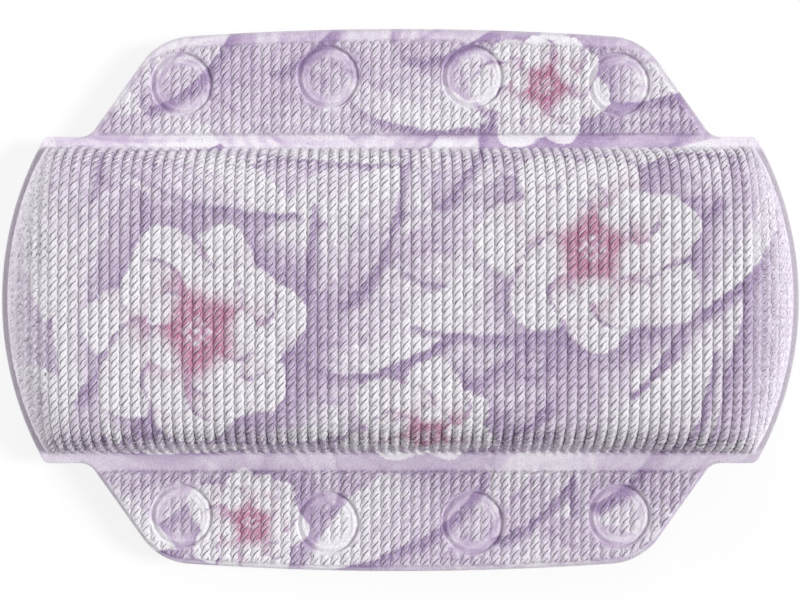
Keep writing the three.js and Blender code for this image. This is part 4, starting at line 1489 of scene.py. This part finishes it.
def front_material():
    nodes = Nodes(bpy.data.materials.new("printed_embossed_sheet"))
    rest = nodes.uv("rest")
    emboss = nodes.value("emboss")
    ends = nodes.value("ends")
    fleck = nodes.noise(rest, 1.6, 4, 0.7)
    colour = printed_colour(nodes, rest, fleck, ends)
    colour = pressed_colour(nodes, colour, rest, fleck, ends, emboss)
    for density in STREAK_DENSITIES:
        stretched = nodes.joined(nodes.add("ShaderNodeVectorMath", {"operation": "MULTIPLY"}), rest, density)
        colour = specked_colour(nodes, colour, nodes.noise(stretched, 1.0, 3, 0.75), STREAK_SPECKS, emboss)
    grain = nodes.noise(rest, 6.5, 3, 0.75)
    colour = specked_colour(nodes, colour, grain, GRAIN_SPECKS)
    roughness = nodes.ramp(grain, 0.2, 0.8, 0.5, 0.66)
    bump = nodes.bump(grain, 0.0004)
    return nodes.finish(Base_Color=colour, Roughness=roughness, Normal=bump, Specular_IOR_Level=0.35)


def back_material():
    nodes = Nodes(bpy.data.materials.new("plain_grained_sheet"))
    rest = nodes.uv("rest")
    grain = nodes.noise(rest, 7, 5, 0.6)
    colour = nodes.mix(nodes.ramp(nodes.noise(rest, 0.5, 3), 0.3, 0.7), *BACK_LILAC)
    roughness = nodes.ramp(grain, 0.25, 0.75, 0.42, 0.58)
    return nodes.finish(Base_Color=colour, Roughness=roughness, Normal=nodes.bump(grain, 0.00022))


def foam_material():
    nodes = Nodes(bpy.data.materials.new("open_cell_foam"))
    cells = nodes.add("ShaderNodeTexVoronoi", Vector=nodes.object_place(), Scale=900.0).outputs["Distance"]
    colour = nodes.mix(nodes.ramp(cells, 0.1, 0.7), *FOAM_CREAM)
    roughness = nodes.ramp(cells, 0.1, 0.7, 1.0, 0.85)
    return nodes.finish(Base_Color=colour, Roughness=roughness, Normal=nodes.bump(cells, 0.0006))


def cup_material():
    nodes = Nodes(bpy.data.materials.new("milky_soft_pvc"))
    place = nodes.object_place()
    haze = nodes.noise(place, 160.0, 3)
    colour = nodes.mix(nodes.ramp(haze, 0.3, 0.7), *CUP_MILK)
    roughness = nodes.ramp(haze, 0.3, 0.7, 0.16, 0.26)
    bump = nodes.bump(nodes.noise(place, 900.0, 2), 0.00004)
    clear = {"Transmission_Weight": 0.55, "IOR": 1.5}
    return nodes.finish(Base_Color=colour, Roughness=roughness, Normal=bump, **clear)


# The object

front_sheet = front_material()
back_sheet = back_material()
foam = foam_material()
soft_cup = cup_material()


def place(piece, slot, *nodes):
    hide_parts(*nodes)


front_cover = make_front_cover(front_sheet)
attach(front_cover, "pillow")
place(front_cover, "front_sheet", "front_cover")

back_cover = make_back_cover(back_sheet)
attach(back_cover, "pillow")
place(back_cover, "back_sheet", "back_cover")

foam_core = make_foam_core(foam)
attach(foam_core, "pillow")
place(foam_core, "foam", "foam_core")

for side, flap in ((1, "upper_flap"), (-1, "lower_flap")):
    sheet = make_flap_front(side, front_sheet)
    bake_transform(sheet)
    place(sheet, "front_sheet", f"{flap}_front")
    backing = make_flap_back(side, back_sheet)
    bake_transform(backing)
    place(backing, "back_sheet", f"{flap}_back")
    for node, centre in cup_centres(side).items():
        cup = make_cup(f"{node}_moulded", centre, soft_cup)
        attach(cup, flap)
        place(cup, "suction_cup", node)


# Stage, light and camera

FLOOR_SIZE = 6.0
FLOOR_GAP = 0.0002
FLOOR_GREY = (0.9, 0.9, 0.9, 1)
FLOOR_WHITENESS = 0.8
WHITE = (1, 1, 1, 1)
AMBIENT = 0.51
LIGHTS = {"key": (2.8, 1, 34), "left_fill": (1.6, 166, 9), "top_fill": (0.42, 95, 35)}
LIGHT_SOFTNESS = math.radians(17)
CAMERA_HEIGHT = 0.690
CAMERA_LENS = 76.1
CAMERA_SHIFT = -0.0006


def seen_share(nodes):
    """1 for rays that show the background: from the camera, in reflections and through clear things."""
    path = nodes.add("ShaderNodeLightPath").outputs
    bounced = nodes.math("MAXIMUM", path["Is Glossy Ray"], path["Is Transmission Ray"])
    return nodes.math("MAXIMUM", path["Is Camera Ray"], bounced)


def floor_material():
    nodes = Nodes(bpy.data.materials.new("white_floor"))
    nodes.tree.nodes.remove(nodes.tree.nodes["Principled BSDF"])
    diffuse = nodes.add("ShaderNodeBsdfDiffuse", Color=FLOOR_GREY).outputs[0]
    glow = nodes.add("ShaderNodeEmission", Color=WHITE, Strength=1.0).outputs[0]
    weight = nodes.times(seen_share(nodes), FLOOR_WHITENESS)
    surface = nodes.joined(nodes.add("ShaderNodeMixShader"), weight, diffuse, glow)
    nodes.set(nodes.tree.nodes["Material Output"], Surface=surface)
    return nodes.owner


def make_floor():
    half = FLOOR_SIZE / 2
    corners = [(-half, -half), (half, -half), (half, half), (-half, half)]
    points = [(x, y, BACK_BOTTOM - FLOOR_GAP) for x, y in corners]
    floor = new_piece("floor", points, [(0, 1, 2, 3)], floor_material())


def make_world():
    world = bpy.data.worlds.new("studio")
    nodes = Nodes(world)
    level = nodes.ramp(seen_share(nodes), 0.0, 1.0, AMBIENT, 1.0)
    nodes.set(nodes.tree.nodes["Background"], Color=WHITE, Strength=level)
    bpy.context.scene.world = world


def make_lights():
    """Wide soft lights, each with its strength, its bearing from +X towards +Y and its height in degrees."""
    for name, (strength, bearing, height) in LIGHTS.items():
        light = bpy.data.lights.new(name, "SUN")
        light.energy = strength
        light.angle = LIGHT_SOFTNESS
        lamp = bpy.data.objects.new(name, light)
        lamp.rotation_euler = (0, math.radians(90 - height), math.radians(bearing))
        bpy.context.scene.collection.objects.link(lamp)


def make_camera():
    lens = bpy.data.cameras.new("camera")
    lens.lens = CAMERA_LENS
    lens.shift_x = CAMERA_SHIFT
    camera = bpy.data.objects.new("camera", lens)
    camera.location = (0, 0, CAMERA_HEIGHT)
    bpy.context.scene.collection.objects.link(camera)
    bpy.context.scene.camera = camera


make_floor()
make_world()
make_lights()
make_camera()
bpy.context.scene.view_settings.view_transform = "Standard"
